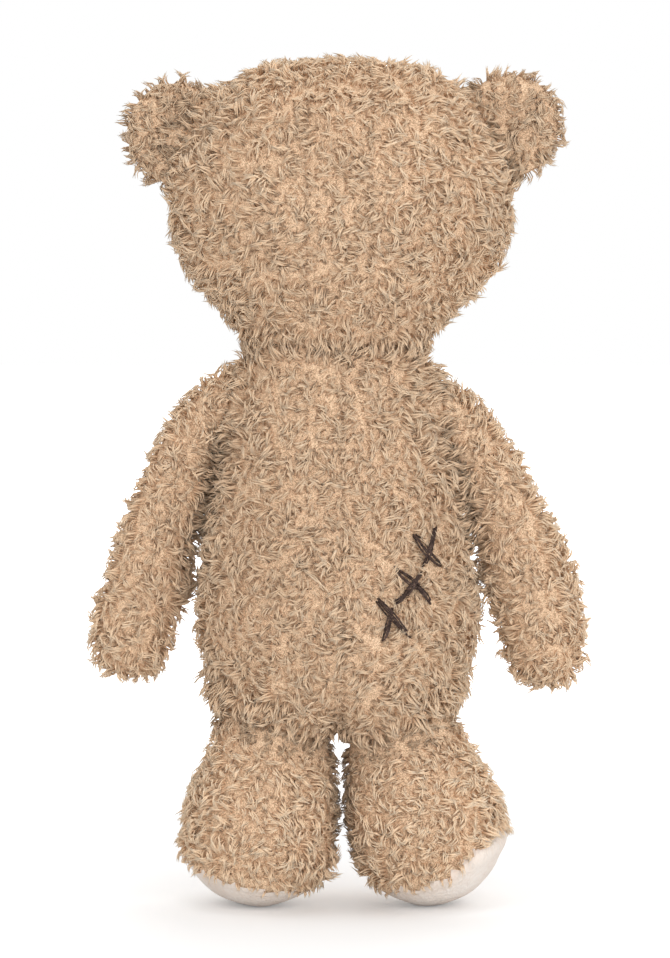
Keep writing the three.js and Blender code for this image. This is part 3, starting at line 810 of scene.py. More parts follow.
def pile_tree():
    """Sets locks of pile over a skin, each stood on the skin's normal and turned to the skin's flow."""
    tree, source, end = geometry_tree("pile", {
        "Spacing": ("Float", 2 * MM),
        "Length": ("Float", 8 * MM),
        "Uneven": ("Float", 0.25),
        "Locks": "Collection",
        "Count": ("Int", 1),
        "Seed": ("Int", 1),
        "Material": "Material",
    })
    given = source.outputs
    pile = add(tree, "GeometryNodeInputNamedAttribute", {"Name": "pile"}, data_type="FLOAT")
    flow = add(tree, "GeometryNodeInputNamedAttribute", {"Name": "flow"}, data_type="FLOAT_VECTOR")
    tone = add(tree, "GeometryNodeInputNamedAttribute", {"Name": "tone"}, data_type="FLOAT")
    turn = add(tree, "GeometryNodeInputNamedAttribute", {"Name": "turn"}, data_type="FLOAT")
    enough = maths(tree, "GREATER_THAN", pile.outputs[0], 0.3)
    scatter = add(tree, "GeometryNodeDistributePointsOnFaces", {
        "Mesh": given["Geometry"], "Distance Min": given["Spacing"], "Density Max": 1e7,
        "Density Factor": enough, "Seed": given["Seed"],
    }, distribute_method="POISSON")

    def chance(low, high, offset, kind="FLOAT"):
        """A random number for each lock."""
        first = 2 if kind == "FLOAT" else 4
        seed = maths(tree, "ADD", given["Seed"], offset)
        ends = {first: low, first + 1: high, "Seed": seed}
        node = add(tree, "FunctionNodeRandomValue", ends, data_type=kind)
        return node.outputs[1 if kind == "FLOAT" else 2]

    upright = add(tree, "FunctionNodeAlignRotationToVector", {
        "Vector": scatter.outputs["Normal"],
    }, axis="Z")
    turned = add(tree, "FunctionNodeAlignRotationToVector", {
        "Rotation": upright.outputs[0], "Vector": flow.outputs[0],
    }, axis="X", pivot_axis="Z")
    spin = maths(tree, "MULTIPLY", chance(-1.0, 1.0, 3), turn.outputs[0])
    about = add(tree, "ShaderNodeCombineXYZ", {"Z": spin})
    around = add(tree, "FunctionNodeEulerToRotation", {0: about.outputs[0]})
    facing = add(tree, "FunctionNodeRotateRotation", {0: turned.outputs[0], 1: around.outputs[0]},
                 rotation_space="LOCAL")
    least = maths(tree, "SUBTRACT", 1.0, given["Uneven"])
    most = maths(tree, "ADD", 1.0, given["Uneven"])
    size = maths(tree, "MULTIPLY", maths(tree, "MULTIPLY", given["Length"], pile.outputs[0]),
                 chance(least, most, 5))
    locks = add(tree, "GeometryNodeCollectionInfo", {
        "Collection": given["Locks"], "Separate Children": True, "Reset Children": True,
    })
    last = maths(tree, "SUBTRACT", given["Count"], 1.0)
    placed = add(tree, "GeometryNodeInstanceOnPoints", {
        "Points": scatter.outputs["Points"], "Instance": locks.outputs[0], "Pick Instance": True,
        "Instance Index": chance(0, last, 7, "INT"), "Rotation": facing.outputs[0], "Scale": size,
    })
    lock_tone = maths(tree, "ADD", tone.outputs[0], chance(-0.16, 0.16, 9))
    toned = add(tree, "GeometryNodeStoreNamedAttribute", {
        "Geometry": placed.outputs[0], "Name": "lock_tone", "Value": lock_tone,
    }, data_type="FLOAT", domain="INSTANCE")
    real = add(tree, "GeometryNodeRealizeInstances", {"Geometry": toned.outputs[0]})
    finished = add(tree, "GeometryNodeSetMaterial", {
        "Geometry": spread_map(tree, real.outputs[0]), "Material": given["Material"],
    })
    tree.links.new(finished.outputs[0], end.inputs[0])
    return tree


def spread_map(tree, pile):
    """Moves each wisp across the bake map, by its own tone and its lock's."""
    own = add(tree, "GeometryNodeInputNamedAttribute", {"Name": BAKE_MAP}, data_type="FLOAT_VECTOR")
    whole = add(tree, "GeometryNodeInputNamedAttribute", {"Name": "lock_tone"}, data_type="FLOAT")
    parts = add(tree, "ShaderNodeSeparateXYZ", {0: own.outputs[0]})
    spread = maths(tree, "MULTIPLY", maths(tree, "SUBTRACT", parts.outputs[0], 0.5), 0.42)
    across = add(tree, "ShaderNodeClamp", {
        "Value": maths(tree, "ADD", whole.outputs[0], spread), "Min": 0.01, "Max": 0.99,
    })
    mapped = add(tree, "ShaderNodeCombineXYZ", {0: across.outputs[0], 1: parts.outputs[1]})
    stored = add(tree, "GeometryNodeStoreNamedAttribute", {
        "Geometry": pile, "Name": BAKE_MAP, "Value": mapped.outputs[0],
    }, data_type="FLOAT2", domain="CORNER")
    return stored.outputs[0]


def cloth_map(mesh, facing):
    """Maps a skin flat, as seen along the way it faces, into the cloth's share of the bake map."""
    layer = mesh.uv_layers.get(BAKE_MAP) or mesh.uv_layers.new(name=BAKE_MAP)
    facing = Vector(facing).normalized()
    across = facing.orthogonal().normalized()
    up = facing.cross(across)
    flat = points_of(mesh) @ np.array([across, up]).T
    flat -= flat.min(axis=0)
    flat /= np.maximum(flat.max(axis=0), 1e-6)
    corners = np.empty(len(mesh.loops), np.int32)
    mesh.loops.foreach_get("vertex_index", corners)
    margin = 0.01
    places = margin + (1 - 2 * margin) * flat[corners]
    places[:, 1] = PILE_SHARE + (1 - PILE_SHARE) * places[:, 1]
    layer.data.foreach_set("uv", places.astype(np.float32).ravel())


def joined(meshes, name):
    """One mesh of several, with their maps and materials."""
    carriers = []
    for mesh in meshes:
        carrier = bpy.data.objects.new("join", mesh)
        bpy.context.scene.collection.objects.link(carrier)
        carriers.append(carrier)
    with bpy.context.temp_override(active_object=carriers[0], selected_editable_objects=carriers):
        bpy.ops.object.join()
    made = carriers[0].data
    bpy.data.objects.remove(carriers[0])
    made.name = name
    return made


def comb(patch, form, kept, normals):
    """Stores how long the pile is over a patch, which way it lies, its tone and how freely it turns."""
    fall, loose = SHORT_LIE if form.part == "muzzle" else LONG_LIE
    places = form.outer[kept]
    down = np.array([0, 0, -1.0]) - normals * (-normals[:, 2:3])
    flow = down * fall + sum(swirl(places, size, seed) * strength for size, seed, strength in SWIRLS)
    leaning = form.crease[kept][:, None]
    flow = flow * (1 - leaning) + form.toward[kept] * leaning * 1.5
    flow -= normals * (flow * normals).sum(axis=1, keepdims=True)
    pile = form.room[kept]
    pile *= 0.74 + 0.26 * eased(form.seam[kept], *SEAM_RANGE)
    pile *= 1 + 0.10 * patches(places, 9 * MM, 3)
    pile *= pressed_by_yarn(places)
    tone = 0.5 + 0.16 * patches(places, 30 * MM, 4) + 0.13 * patches(places, 9 * MM, 5)
    # The joins' painted shade (form.under) darkens the tone here.
    tone += TONES.get(form.region, 0) - 0.5 * form.under[kept]
    store(patch, "pile", "FLOAT", pile)
    store(patch, "flow", "FLOAT_VECTOR", flow)
    store(patch, "tone", "FLOAT", tone)
    store(patch, "turn", "FLOAT", loose + (TURN_IN_CREASE - loose) * form.crease[kept])


def dress_region(region, kit):
    """Gives every plush panel of a region its skin and pile."""
    settings = bpy.context.scene.bear_plush
    form = stuffed_form(region)
    short = region == "muzzle"
    pile_settings = bpy.context.scene.bear_muzzle if short else settings
    for number, panel in enumerate(form.panels):
        if panel.startswith("sole"):
            continue
        patch, kept = panel_patch(form, number)
        normals = normals_of(form.mesh)[kept]
        comb(patch, form, kept, normals)
        skin = walled(patch, settings.wall)
        skin.materials.clear()
        skin.materials.append(kit["backing"])
        cloth_map(skin, normals.mean(axis=0))
        fur = grown(patch, kit["tree"], {
            "Spacing": pile_settings.spacing,
            "Length": pile_settings.pile,
            "Uneven": UNEVEN,
            "Locks": kit["short_locks"] if short else kit["locks"],
            "Count": SHORT_LOCKS if short else LONG_LOCKS,
            "Seed": settings.seed + 13 * number + 101 * list(REGIONS).index(region),
            "Material": kit["pile"][form.part],
        }, "fur")
        for layer in ("pile", "flow", "tone", "turn", "lock_tone", "form_point"):
            for made in (skin, fur):
                if layer in made.attributes:
                    made.attributes.remove(made.attributes[layer])
        piece = joined([skin, fur], "plush_" + panel)
        finish_piece("plush_" + panel, piece, [panel])


def pressed_by_yarn(places):
    """1 in the open, and less close to the strokes of yarn, which press the pile down."""
    free = np.ones(len(places))
    for strokes in STROKES.values():
        for stroke in strokes:
            start, stop = (np.array(end) * MM for end in stroke[:2])
            line = stop - start
            at = places[:, [0, 2]]
            t = np.clip(((at - start) @ line) / (line @ line), 0, 1)
            gap = np.linalg.norm(at - (start + t[:, None] * line), axis=1)
            pressed = 0.6 + 0.4 * eased(gap, *PRESSED_RANGE)
            free = np.where(places[:, 1] > 0, np.minimum(free, pressed), free)
    return free


# Materials

def new_material(name):
    """A material with its Principled shader and a place for its nodes."""
    material = bpy.data.materials.new(name)
    material.use_nodes = True
    tree = material.node_tree
    return material, tree, tree.nodes["Principled BSDF"]


def ramp(tree, factor, stops):
    """The colour of a ramp with the given (place, colour) stops."""
    node = add(tree, "ShaderNodeValToRGB", {"Fac": factor})
    elements = node.color_ramp.elements
    while len(elements) < len(stops):
        elements.new(0.5)
    for element, (place, value) in zip(elements, stops):
        element.position = place
        element.color = (*value, 1)
    return node.outputs[0]


def ranged(tree, value, low, high, start, stop):
    """A value that goes from start to stop while the given one goes from low to high."""
    return add(tree, "ShaderNodeMapRange", {0: value, 1: low, 2: high, 3: start, 4: stop}).outputs[0]


def mixed(tree, factor, first, second):
    """Two colours mixed by a factor."""
    node = add(tree, "ShaderNodeMix", {0: factor, 6: first, 7: second}, data_type="RGBA")
    return node.outputs[2]


def shaded(value, amount):
    """A colour times an amount."""
    return tuple(part * amount for part in value)


def pile_material(name, settings, lift):
    """Pile that darkens towards its root, as painted shade deep in the pile, and is pale at its tip, its
    tone given by the wisp it is on.
    """
    material, tree, shader = new_material(name)
    place = add(tree, "ShaderNodeUVMap", uv_map=BAKE_MAP)
    parts = add(tree, "ShaderNodeSeparateXYZ", {0: place.outputs[0]})
    height = maths(tree, "DIVIDE", parts.outputs[1], PILE_SHARE)
    root, shade, wisp_colour, tip = (
        shaded(value, lift) for value in (settings.root, settings.shade, settings.wisp, settings.tip)
    )
    # Both ramps darken towards the root: painted shade deep in the pile.
    dark = ramp(tree, height, [(0.0, root), (0.3, shaded(shade, 0.85)), (0.75, shade), (1.0, wisp_colour)])
    light = ramp(tree, height, [(0.0, root), (0.26, shade), (0.62, wisp_colour), (1.0, tip)])
    # The lowest tones, which come mostly from the joins' painted shade, are darkened further: more painted
    # shade.
    deepest = ranged(tree, parts.outputs[0], 0.01, 0.09, 0.70, 1.0)
    plain = mixed(tree, parts.outputs[0], dark, light)
    toned = add(tree, "ShaderNodeMix", {0: 1.0, 6: plain, 7: deepest},
                data_type="RGBA", blend_type="MULTIPLY")
    tree.links.new(toned.outputs[2], shader.inputs["Base Color"])
    shader.inputs["Roughness"].default_value = 0.86
    shader.inputs["Specular IOR Level"].default_value = 0.22
    shader.inputs["Sheen Weight"].default_value = 0.3
    shader.inputs["Sheen Roughness"].default_value = 0.5
    shader.inputs["Sheen Tint"].default_value = (1, 0.86, 0.70, 1)
    return material


def backing_material(settings):
    """The cloth that the pile grows from, mottled with the short fibres that lie on it."""
    material, tree, shader = new_material("plush_backing")
    where = add(tree, "ShaderNodeTexCoord")
    fibres = add(tree, "ShaderNodeTexNoise", {
        "Vector": where.outputs["Object"], "Scale": 900.0, "Detail": 4.0, "Distortion": 2.5,
    })
    colours = [(0.40, shaded(settings.root, 0.6)), (0.5, settings.root), (0.60, settings.wisp)]
    tree.links.new(ramp(tree, fibres.outputs[0], colours), shader.inputs["Base Color"])
    shader.inputs["Roughness"].default_value = 0.95
    shader.inputs["Specular IOR Level"].default_value = 0.2
    return material


def grain_group():
    """Fine fibres over a surface: a mask of fibres, a slow cloud of wear and a height for a bump."""
    tree = bpy.data.node_groups.new("fibre_grain", "ShaderNodeTree")
    sockets(tree, {"Scale": ("Float", 1500.0), "Stretch": ("Float", 3.0), "Wear Scale": ("Float", 60.0)},
            {"Fibre": "Float", "Wear": "Float", "Height": "Float"})
    source, end = tree.nodes.new("NodeGroupInput"), tree.nodes.new("NodeGroupOutput")
    where = add(tree, "ShaderNodeTexCoord")
    squeeze = add(tree, "ShaderNodeCombineXYZ", {0: 1.0, 1: 1.0, 2: source.outputs["Stretch"]})
    place = vectors(tree, "MULTIPLY", where.outputs["Object"], squeeze.outputs[0])
    fibre = add(tree, "ShaderNodeTexNoise", {
        "Vector": place, "Scale": source.outputs["Scale"], "Detail": 4.0,
    })
    speck = add(tree, "ShaderNodeTexVoronoi", {"Vector": place, "Scale": source.outputs["Scale"]})
    wear = add(tree, "ShaderNodeTexNoise", {
        "Vector": where.outputs["Object"], "Scale": source.outputs["Wear Scale"], "Detail": 5.0,
    })
    height = maths(tree, "ADD", fibre.outputs[0], maths(tree, "MULTIPLY", speck.outputs["Distance"], 0.6))
    tree.links.new(fibre.outputs[0], end.inputs["Fibre"])
    tree.links.new(wear.outputs[0], end.inputs["Wear"])
    tree.links.new(height, end.inputs["Height"])
    return tree


def grained(name, grain, low, high, scale, wear_scale, bump, roughness, stretch=3.0, sheen=0.0):
    """A cloth or thread material: two colours mixed by wear and fibres, with a fine bump."""
    material, tree, shader = new_material(name)
    fibres = add(tree, "ShaderNodeGroup", node_tree=grain)
    fibres.inputs["Scale"].default_value = scale
    fibres.inputs["Wear Scale"].default_value = wear_scale
    fibres.inputs["Stretch"].default_value = stretch
    mask = maths(tree, "ADD", maths(tree, "MULTIPLY", fibres.outputs["Wear"], 1.3),
                 maths(tree, "MULTIPLY", fibres.outputs["Fibre"], 0.7))
    blended = mixed(tree, ranged(tree, mask, 0.75, 1.25, 0.0, 1.0), (*low, 1), (*high, 1))
    tree.links.new(blended, shader.inputs["Base Color"])
    relief = add(tree, "ShaderNodeBump", {
        "Strength": 0.6, "Distance": bump, "Height": fibres.outputs["Height"],
    })
    tree.links.new(relief.outputs[0], shader.inputs["Normal"])
    shader.inputs["Roughness"].default_value = roughness
    shader.inputs["Specular IOR Level"].default_value = 0.3
    if sheen:
        shader.inputs["Sheen Weight"].default_value = sheen
        shader.inputs["Sheen Roughness"].default_value = 0.4
    return material


def gloss_material():
    """The eye: nearly black moulded plastic with a polished coat and hairline scuffs."""
    material, tree, shader = new_material("eye_gloss")
    where = add(tree, "ShaderNodeTexCoord")
    cloud = add(tree, "ShaderNodeTexNoise", {
        "Vector": where.outputs["Object"], "Scale": 220.0, "Detail": 3.0,
    })
    tint = mixed(tree, cloud.outputs[0], (0.010, 0.006, 0.005, 1), (0.030, 0.017, 0.012, 1))
    tree.links.new(tint, shader.inputs["Base Color"])
    scuff = ranged(tree, cloud.outputs[0], 0.3, 0.8, 0.10, 0.24)
    tree.links.new(scuff, shader.inputs["Roughness"])
    shader.inputs["Coat Weight"].default_value = 0.2
    shader.inputs["Coat Roughness"].default_value = 0.06
    return material


# Yarn and thread

def scaled(tree, vector, amount):
    """A vector output times a number."""
    return add(tree, "ShaderNodeVectorMath", {0: vector, "Scale": amount}, operation="SCALE").outputs[0]


def twisted_tree(name, plies):
    """Turns paths into twisted cord: plies that run round each path, closed at their ends."""
    tree, source, end = geometry_tree(name, {
        "Step": ("Float", 0.8 * MM),
        "Orbit": ("Float", 0.6 * MM),
        "Ply": ("Float", 0.7 * MM),
        "Pitch": ("Float", 7 * MM),
        "Material": "Material",
    })
    given = source.outputs
    paths = add(tree, "GeometryNodeMeshToCurve", {0: given["Geometry"]})
    even = add(tree, "GeometryNodeResampleCurve", {
        "Curve": paths.outputs[0], "Length": given["Step"],
    }, mode="LENGTH")
    along = add(tree, "GeometryNodeSplineParameter")
    tangent = add(tree, "GeometryNodeInputTangent")
    normal = add(tree, "GeometryNodeInputNormal")
    beside = vectors(tree, "CROSS_PRODUCT", tangent.outputs[0], normal.outputs[0])
    turn = maths(tree, "MULTIPLY", maths(tree, "DIVIDE", along.outputs["Length"], given["Pitch"]), math.tau)
    profile = add(tree, "GeometryNodeCurvePrimitiveCircle", {"Resolution": 5, "Radius": given["Ply"]})
    together = add(tree, "GeometryNodeJoinGeometry")
    for ply in range(plies):
        angle = maths(tree, "ADD", turn, ply * math.tau / plies)
        cosine = maths(tree, "MULTIPLY", maths(tree, "COSINE", angle), given["Orbit"])
        sine = maths(tree, "MULTIPLY", maths(tree, "SINE", angle), given["Orbit"])
        offset = vectors(tree, "ADD", scaled(tree, normal.outputs[0], cosine), scaled(tree, beside, sine))
        moved = add(tree, "GeometryNodeSetPosition", {"Geometry": even.outputs[0], "Offset": offset})
        tube = add(tree, "GeometryNodeCurveToMesh", {
            "Curve": moved.outputs[0], "Profile Curve": profile.outputs[0], "Fill Caps": True,
        })
        tree.links.new(tube.outputs[0], together.inputs[0])
    real = add(tree, "GeometryNodeRealizeInstances", {"Geometry": together.outputs[0]})
    finished = add(tree, "GeometryNodeSetMaterial", {
        "Geometry": real.outputs[0], "Material": given["Material"],
    })
    tree.links.new(finished.outputs[0], end.inputs[0])
    return tree


def path_mesh(paths):
    """A mesh of loose edges, one chain for each path."""
    points, edges = [], []
    for path in paths:
        first = len(points)
        points.extend(path)
        edges.extend((first + i, first + i + 1) for i in range(len(path) - 1))
    mesh = bpy.data.meshes.new("paths")
    mesh.from_pydata(points, edges, [])
    return mesh


def top_of(tree, x, z, side):
    """Where a ray along y first meets a surface, from behind (side 1) or from the front (side -1)."""
    return tree.ray_cast(Vector((x, side * 1.0, z)), Vector((0, -side, 0)))[0]


def front_column(surface, x, low, high, rows):
    """The points where rays from the front meet a surface, up a column of rows at one x."""
    hits = [top_of(surface, x, low.z + (high.z - low.z) * row / rows, -1) for row in range(rows + 1)]
    return [hit for hit in hits if hit is not None]


def laid_on(surface, spot):
    """The point of a surface in front of a spot, and a little proud of it."""
    return top_of(surface, spot.x, spot.z, -1) + Vector((0, -0.25 * MM, 0))


def smile_path(mouth, muzzle, radius):
    """The mouth's curve over the muzzle, from one corner to the other."""
    low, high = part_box("mouth")
    path = []
    steps = 24
    for step in range(steps + 1):
        x = low.x + (high.x - low.x) * (0.02 + 0.96 * step / steps)
        hits = front_column(mouth, x, low, high, 60)
        if hits:
            lowest = [hit for hit in hits if hit.z < hits[0].z + 3 * radius]
            path.append(laid_on(muzzle, sum(lowest, Vector()) / len(lowest)))
    return path


def drop_path(mouth, muzzle):
    """The upright stitch between the nose and the mouth's curve."""
    low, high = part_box("mouth")
    middle = (low.x + high.x) / 2
    path = []
    rows = 12
    for row in range(rows + 1):
        hit = top_of(mouth, middle, low.z + (high.z - low.z) * (0.12 + 0.86 * row / rows), -1)
        if hit is not None:
            path.append(laid_on(muzzle, hit))
    return path


def strand_paths(body, stroke, settings, rng):
    """One stroke of yarn over the back: strands side by side, tucked into the cloth at both ends."""
    start, stop, share = stroke
    line = Vector((stop[0] - start[0], 0, stop[1] - start[1])).normalized()
    across = Vector((-line.z, 0, line.x))
    steps = 14
    paths = []
    for number in range(settings.strands):
        place = number / (settings.strands - 1) - 0.5
        phase = rng.uniform(0, math.tau)
        loose = number == 0 or rng.random() < 0.15
        shift = rng.uniform(-0.05, 0.05)
        path = []
        for step in range(steps + 1):
            t = step / steps
            belly = math.sin(t * math.pi) ** 0.6
            sway = 0.22 * MM * math.sin(t * math.tau * 0.9 + phase)
            side = across * (place * settings.thickness * share * (0.25 + 0.75 * belly) + sway)
            x = (start[0] + (stop[0] - start[0]) * (t + shift)) * MM + side.x
            z = (start[1] + (stop[1] - start[1]) * (t + shift)) * MM + side.z
            hit = top_of(body, x, z, 1)
            lift = (0.15 + 1.1 * (0.25 - place * place)) * MM * belly + rng.uniform(-0.12, 0.12) * MM
            tuck = settings.tuck * (1 - belly)
            if loose and t > 0.5:
                lift, tuck = 0.5 * MM + 0.8 * MM * (t - 0.5), 0
                if t > 0.9:
                    break
            path.append(Vector((x, hit.y - 0.9 * MM + lift - tuck, z)))
        paths.append(path)
    return paths


def fuzz(mesh, kit, settings, material):
    """Short fibres that stand out all over a yarn."""
    seat = mesh.copy()
    count = len(seat.vertices)
    store(seat, "pile", "FLOAT", np.ones(count))
    store(seat, "flow", "FLOAT_VECTOR", np.tile([0.3, 0.0, -1.0], (count, 1)))
    store(seat, "tone", "FLOAT", np.full(count, 0.5))
    store(seat, "turn", "FLOAT", np.full(count, math.pi))
    fibres = grown(seat, kit["tree"], {
        "Spacing": 1.3 * MM,
        "Length": 1.9 * MM,
        "Uneven": 0.5,
        "Locks": kit["fibres"],
        "Count": SHORT_LOCKS,
        "Seed": settings.seed,
        "Material": material,
    }, "fuzz")
    while fibres.uv_layers:
        fibres.uv_layers.remove(fibres.uv_layers[0])
    return fibres


# Operators

class Dressing(Operator):
    """What the operators share."""

    bl_options = {"REGISTER"}


class BEAR_OT_plush(Dressing):
    """Dress one stuffed region in its plush skin and pile"""

    bl_idname = "bear.plush"
    bl_label = "Plush"
    region: StringProperty(name="Region", description="Which stuffed region to dress", default="body")

    def execute(self, context):
        dress_region(self.region, plush_kit())
        return {"FINISHED"}


def plush_kit():
    """The locks, the tree and the materials that every plush region shares."""
    if not KIT:
        settings = bpy.context.scene.bear_plush
        KIT["locks"] = lock_collection("lock", LONG_LOCKS, 6, 2, math.radians(135))
        KIT["short_locks"] = lock_collection("short_lock", SHORT_LOCKS, 3, 0, math.radians(50))
        KIT["fibres"] = lock_collection("fibre", SHORT_LOCKS, 1, 1, math.radians(60))
        KIT["tree"] = pile_tree()
        KIT["pile"] = {part: pile_material(part + "_pile", settings, lift) for part, lift in LIFTS.items()}
        KIT["grain"] = grain_group()
        KIT["backing"] = backing_material(settings)
    return KIT


class BEAR_OT_soles(Dressing):
    """Make the velour soles"""

    bl_idname = "bear.soles"
    bl_label = "Velour soles"

    def execute(self, context):
        velour = context.scene.bear_velour
        material = grained("sole_velour", plush_kit()["grain"], velour.worn, velour.pale,
                           800.0, 60.0, 0.9 * MM, 0.95, stretch=0.25, sheen=0.2)
        for side in ("left", "right"):
            patch = panel_patch(stuffed_form("leg_" + side), SOLE)[0]
            patch.attributes.remove(patch.attributes["form_point"])
            skin = walled(patch, context.scene.bear_plush.wall)
            skin.materials.clear()
            skin.materials.append(material)
            finish_piece("velour_sole_" + side, skin, ["sole_" + side])
        return {"FINISHED"}


class BEAR_OT_eyes(Dressing):
    """Make the two moulded eyes"""

    bl_idname = "bear.eyes"
    bl_label = "Eyes"

    def execute(self, context):
        material = gloss_material()
        for side in ("left", "right"):
            node = "eye_" + side
            carrier = bpy.data.objects.new("eye", merged([node]))
            context.scene.collection.objects.link(carrier)
            rounding = carrier.modifiers.new("rounding", "SUBSURF")
            rounding.levels = rounding.render_levels = 1
            mesh = applied(carrier, "eye")
            mesh.materials.append(material)
            finish_piece("moulded_" + node, mesh, [node])
        return {"FINISHED"}


class BEAR_OT_nose(Dressing):
    """Embroider the nose in satin stitch"""

    bl_idname = "bear.nose"
    bl_label = "Nose"

    def execute(self, context):
        settings = context.scene.bear_muzzle
        material = grained("embroidery", plush_kit()["grain"], settings.brown,
                           shaded(settings.brown, 2.6), 2600.0, 500.0, 0.05 * MM, 0.55)
        surface = surface_of(["nose"])
        low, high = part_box("nose")
        paths = []
        pitch = settings.thread * 0.9
        columns = int((high.x - low.x) / pitch)
        inward = Vector((0, 1.4 * MM, 0))
        proud = Vector((0, -0.1 * MM, 0))
        for column in range(columns + 1):
            x = low.x + (column + 0.5) * (high.x - low.x) / (columns + 1)
            hits = front_column(surface, x, low, high, 40)
            if len(hits) < 4:
                continue
            picked = hits[:: max(1, len(hits) // 8)] + [hits[-1]]
            paths.append([hits[0] + inward] + [h + proud for h in picked] + [hits[-1] + inward])
        threads = grown(path_mesh(paths), twisted_tree("satin_stitch", 1), {
            "Step": 1.3 * MM, "Orbit": 0.0, "Ply": settings.thread / 2, "Material": material,
        }, "threads")
        pad = wrapped(["nose"], 0.8 * MM, 3)
        pad.materials.append(material)
        finish_piece("embroidered_nose", joined([pad, threads], "nose"), ["nose"])
        return {"FINISHED"}


class BEAR_OT_mouth(Dressing):
    """Embroider the mouth with a twisted thread"""

    bl_idname = "bear.mouth"
    bl_label = "Mouth"

    def execute(self, context):
        radius = context.scene.bear_muzzle.thread
        mouth, muzzle = surface_of(["mouth"]), surface_of(["muzzle"])
        smile = smile_path(mouth, muzzle, radius)
        drop = drop_path(mouth, muzzle)
        inward = Vector((0, 3 * MM, 0))
        paths = [[smile[0] + inward] + smile + [smile[-1] + inward], drop + [drop[-1] + inward]]
        mesh = grown(path_mesh(paths), twisted_tree("mouth_thread", 3), {
            "Step": 0.5 * MM, "Orbit": radius * 0.42, "Ply": radius * 0.46, "Pitch": 3.2 * MM,
            "Material": bpy.data.materials["embroidery"],
        }, "mouth")
        finish_piece("embroidered_mouth", mesh, ["mouth"])
        return {"FINISHED"}


class BEAR_OT_mend(Dressing):
    """Sew the three crosses of dark yarn on the back"""

    bl_idname = "bear.mend"
    bl_label = "Mend"

    def execute(self, context):
        settings = context.scene.bear_yarn
        material = grained("mending_yarn", plush_kit()["grain"], settings.dark, settings.rubbed,
                           2200.0, 700.0, 0.12 * MM, 0.85)
        tree = twisted_tree("yarn", 2)
        body = surface_of(["body_back_left", "body_back_right", "body_front"] + CROSSES)
        rng = random.Random(5)
        for node, strokes in STROKES.items():
            paths = [path for stroke in strokes for path in strand_paths(body, stroke, settings, rng)]
            yarn = grown(path_mesh(paths), tree, {
                "Step": 0.8 * MM, "Orbit": 0.17 * MM, "Ply": 0.23 * MM,
                "Pitch": settings.pitch, "Material": material,
            }, node)
            loose = fuzz(yarn, plush_kit(), context.scene.bear_plush, material)
            finish_piece("yarn_" + node, joined([yarn, loose], node), [node])
        return {"FINISHED"}


class BEAR_OT_inside(Dressing):
    """Finish the filling and the washers that the cloth hides"""

    bl_idname = "bear.inside"
    bl_label = "Filling and washers"

    def execute(self, context):
        grain = plush_kit()["grain"]
        filling = grained("filling_fibre", grain, (0.62, 0.60, 0.56), (0.86, 0.85, 0.82),
                          500.0, 90.0, 0.8 * MM, 0.95)
        washer = grained("washer_plastic", grain, (0.66, 0.66, 0.64), (0.80, 0.80, 0.78),
                         900.0, 200.0, 0.03 * MM, 0.45)
        plush = context.scene.bear_plush
        for region, parts in REGIONS.items():
            for node in parts["inside"]:
                mesh = stuffed_form(region).mesh.copy()
                draw_in(mesh, plush.wall + 1.4 * MM)
                mesh.materials.clear()
                mesh.materials.append(filling)
                finish_piece("wadding_" + region, mesh, [node])
        for name in WASHERS:
            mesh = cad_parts[name].data
            mesh.materials.clear()
            mesh.materials.append(washer)
        return {"FINISHED"}


class BEAR_OT_stage(Dressing):
    """Set the floor, the lamps and the camera"""

    bl_idname = "bear.stage"
    bl_label = "Stage"

    def execute(self, context):
        settings = context.scene.bear_stage
        make_world(settings)
        make_floor()
        make_lamps(settings)
        make_camera(settings)
        context.scene.view_settings.view_transform = "Standard"
        return {"FINISHED"}


def seen_directly(tree):
    """1 for rays that show the background: from the camera, by a mirror or through glass."""
    path = add(tree, "ShaderNodeLightPath")
    some = maths(tree, "MAXIMUM", path.outputs["Is Camera Ray"], path.outputs["Is Glossy Ray"])
    return maths(tree, "MAXIMUM", some, path.outputs["Is Transmission Ray"])


def make_world(settings):
    """A white surround that the camera sees, and an even grey light for everything else."""
    world = bpy.data.worlds.new("studio")
    bpy.context.scene.world = world
    world.use_nodes = True
    tree = world.node_tree
    background = tree.nodes["Background"]
    background.inputs["Color"].default_value = (1, 1, 1, 1)
    level = maths(tree, "MULTIPLY_ADD", seen_directly(tree), 1 - settings.fill, settings.fill)
    tree.links.new(level, background.inputs["Strength"])


def make_floor():
    """A plain pale floor that looks white but keeps the shadow."""
    mesh = bpy.data.meshes.new("floor")
    side = 4.0
    corners = [(-side, -side, 0), (side, -side, 0), (side, side, 0), (-side, side, 0)]
    mesh.from_pydata(corners, [], [(0, 1, 2, 3)])
    floor = bpy.data.objects.new("floor", mesh)
    bpy.context.scene.collection.objects.link(floor)
    material, tree, shader = new_material("pale_floor")
    shader.inputs["Base Color"].default_value = (0.86, 0.86, 0.86, 1)
    shader.inputs["Roughness"].default_value = 0.9
    shader.inputs["Specular IOR Level"].default_value = 0.0
    shader.inputs["Emission Color"].default_value = (1, 1, 1, 1)
    where = add(tree, "ShaderNodeTexCoord")
    reach = add(tree, "ShaderNodeVectorMath", {0: where.outputs["Object"]}, operation="LENGTH")
    whitening = ranged(tree, reach.outputs["Value"], 0.2, 0.8, 0.2, 1.0)
    glow = maths(tree, "MULTIPLY", seen_directly(tree), whitening)
    tree.links.new(glow, shader.inputs["Emission Strength"])
    mesh.materials.append(material)


LAMPS = {
    "behind": {"at": (-0.4, 2.2, 0.6), "size": 1.5, "share": 1.15},
    "before": {"at": (-0.5, -2.1, 0.8), "size": 1.5, "share": 1.1},
    "above": {"at": (0.1, 0.2, 1.9), "size": 1.3, "share": 0.4},
}


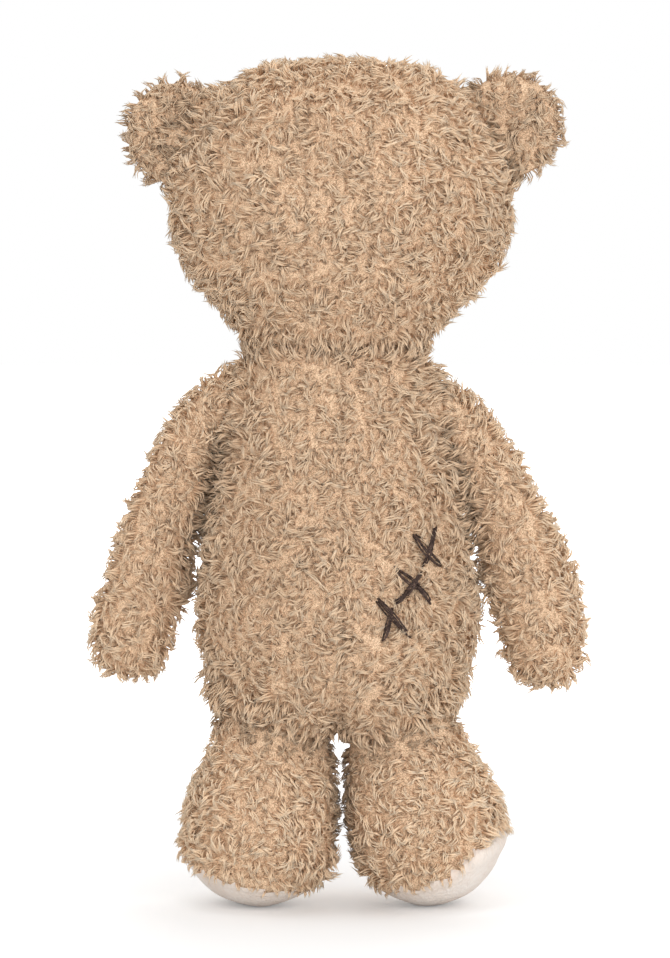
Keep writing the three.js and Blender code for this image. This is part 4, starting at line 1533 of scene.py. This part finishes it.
def make_lamps(settings):
    """Soft square lamps, all aimed at the middle of the bear."""
    for name, lamp in LAMPS.items():
        light = bpy.data.lights.new(name, "AREA")
        light.energy = settings.key * lamp["share"]
        light.size = lamp["size"]
        made = bpy.data.objects.new(name, light)
        bpy.context.scene.collection.objects.link(made)
        made.location = lamp["at"]
        toward = Vector((0, 0, 0.16)) - Vector(lamp["at"])
        made.rotation_euler = toward.to_track_quat("-Z", "Y").to_euler()


def make_camera(settings):
    """A long lens behind the bear, a little above the middle of it, as the picture was taken."""
    scene = bpy.context.scene
    picture_width, sensor = 670, 36.0
    camera = bpy.data.cameras.new("camera")
    camera.sensor_fit = "HORIZONTAL"
    camera.sensor_width = sensor
    camera.lens = sensor * settings.distance / (settings.pixel * picture_width)
    made = bpy.data.objects.new("camera", camera)
    scene.collection.objects.link(made)
    aim = Vector((1.1 * MM, 0, 159.7 * MM))
    back = Vector((0, math.cos(settings.elevation), math.sin(settings.elevation)))
    made.location = aim + back * settings.distance
    made.rotation_euler = (-back).to_track_quat("-Z", "Y").to_euler()
    camera.clip_start = 0.1
    scene.camera = made


class BEAR_PT_sidebar(Panel):
    """The bear's sizes, colours and pieces"""

    bl_idname = "BEAR_PT_sidebar"
    bl_label = "Plush bear"
    bl_space_type = "VIEW_3D"
    bl_region_type = "UI"
    bl_category = "Bear"

    def draw(self, context):
        for operator in OPERATORS:
            self.layout.operator(operator.bl_idname, text=operator.bl_label)
        for name, group in SETTINGS.items():
            box = self.layout.box()
            box.label(text=group.__doc__)
            for setting in group.__annotations__:
                box.prop(getattr(context.scene, name), setting)


OPERATORS = [BEAR_OT_plush, BEAR_OT_soles, BEAR_OT_eyes, BEAR_OT_nose, BEAR_OT_mouth, BEAR_OT_mend,
             BEAR_OT_inside, BEAR_OT_stage]


def register():
    """Registers the settings, the operators and the panel."""
    for group in SETTINGS.values():
        bpy.utils.register_class(group)
    for kind in OPERATORS + [BEAR_PT_sidebar]:
        bpy.utils.register_class(kind)
    for name, group in SETTINGS.items():
        setattr(bpy.types.Scene, name, PointerProperty(type=group))


def unregister():
    """Takes back what register did."""
    for name in SETTINGS:
        delattr(bpy.types.Scene, name)
    for kind in [BEAR_PT_sidebar] + OPERATORS[::-1]:
        bpy.utils.unregister_class(kind)
    for group in SETTINGS.values():
        bpy.utils.unregister_class(group)


def main():
    """Makes the whole bear in order."""
    register()
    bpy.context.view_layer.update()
    bpy.ops.bear.stage()
    for region in REGIONS:
        bpy.ops.bear.plush(region=region)
    bpy.ops.bear.soles()
    bpy.ops.bear.eyes()
    bpy.ops.bear.nose()
    bpy.ops.bear.mouth()
    bpy.ops.bear.mend()
    bpy.ops.bear.inside()


if __name__ == "__main__":
    main()
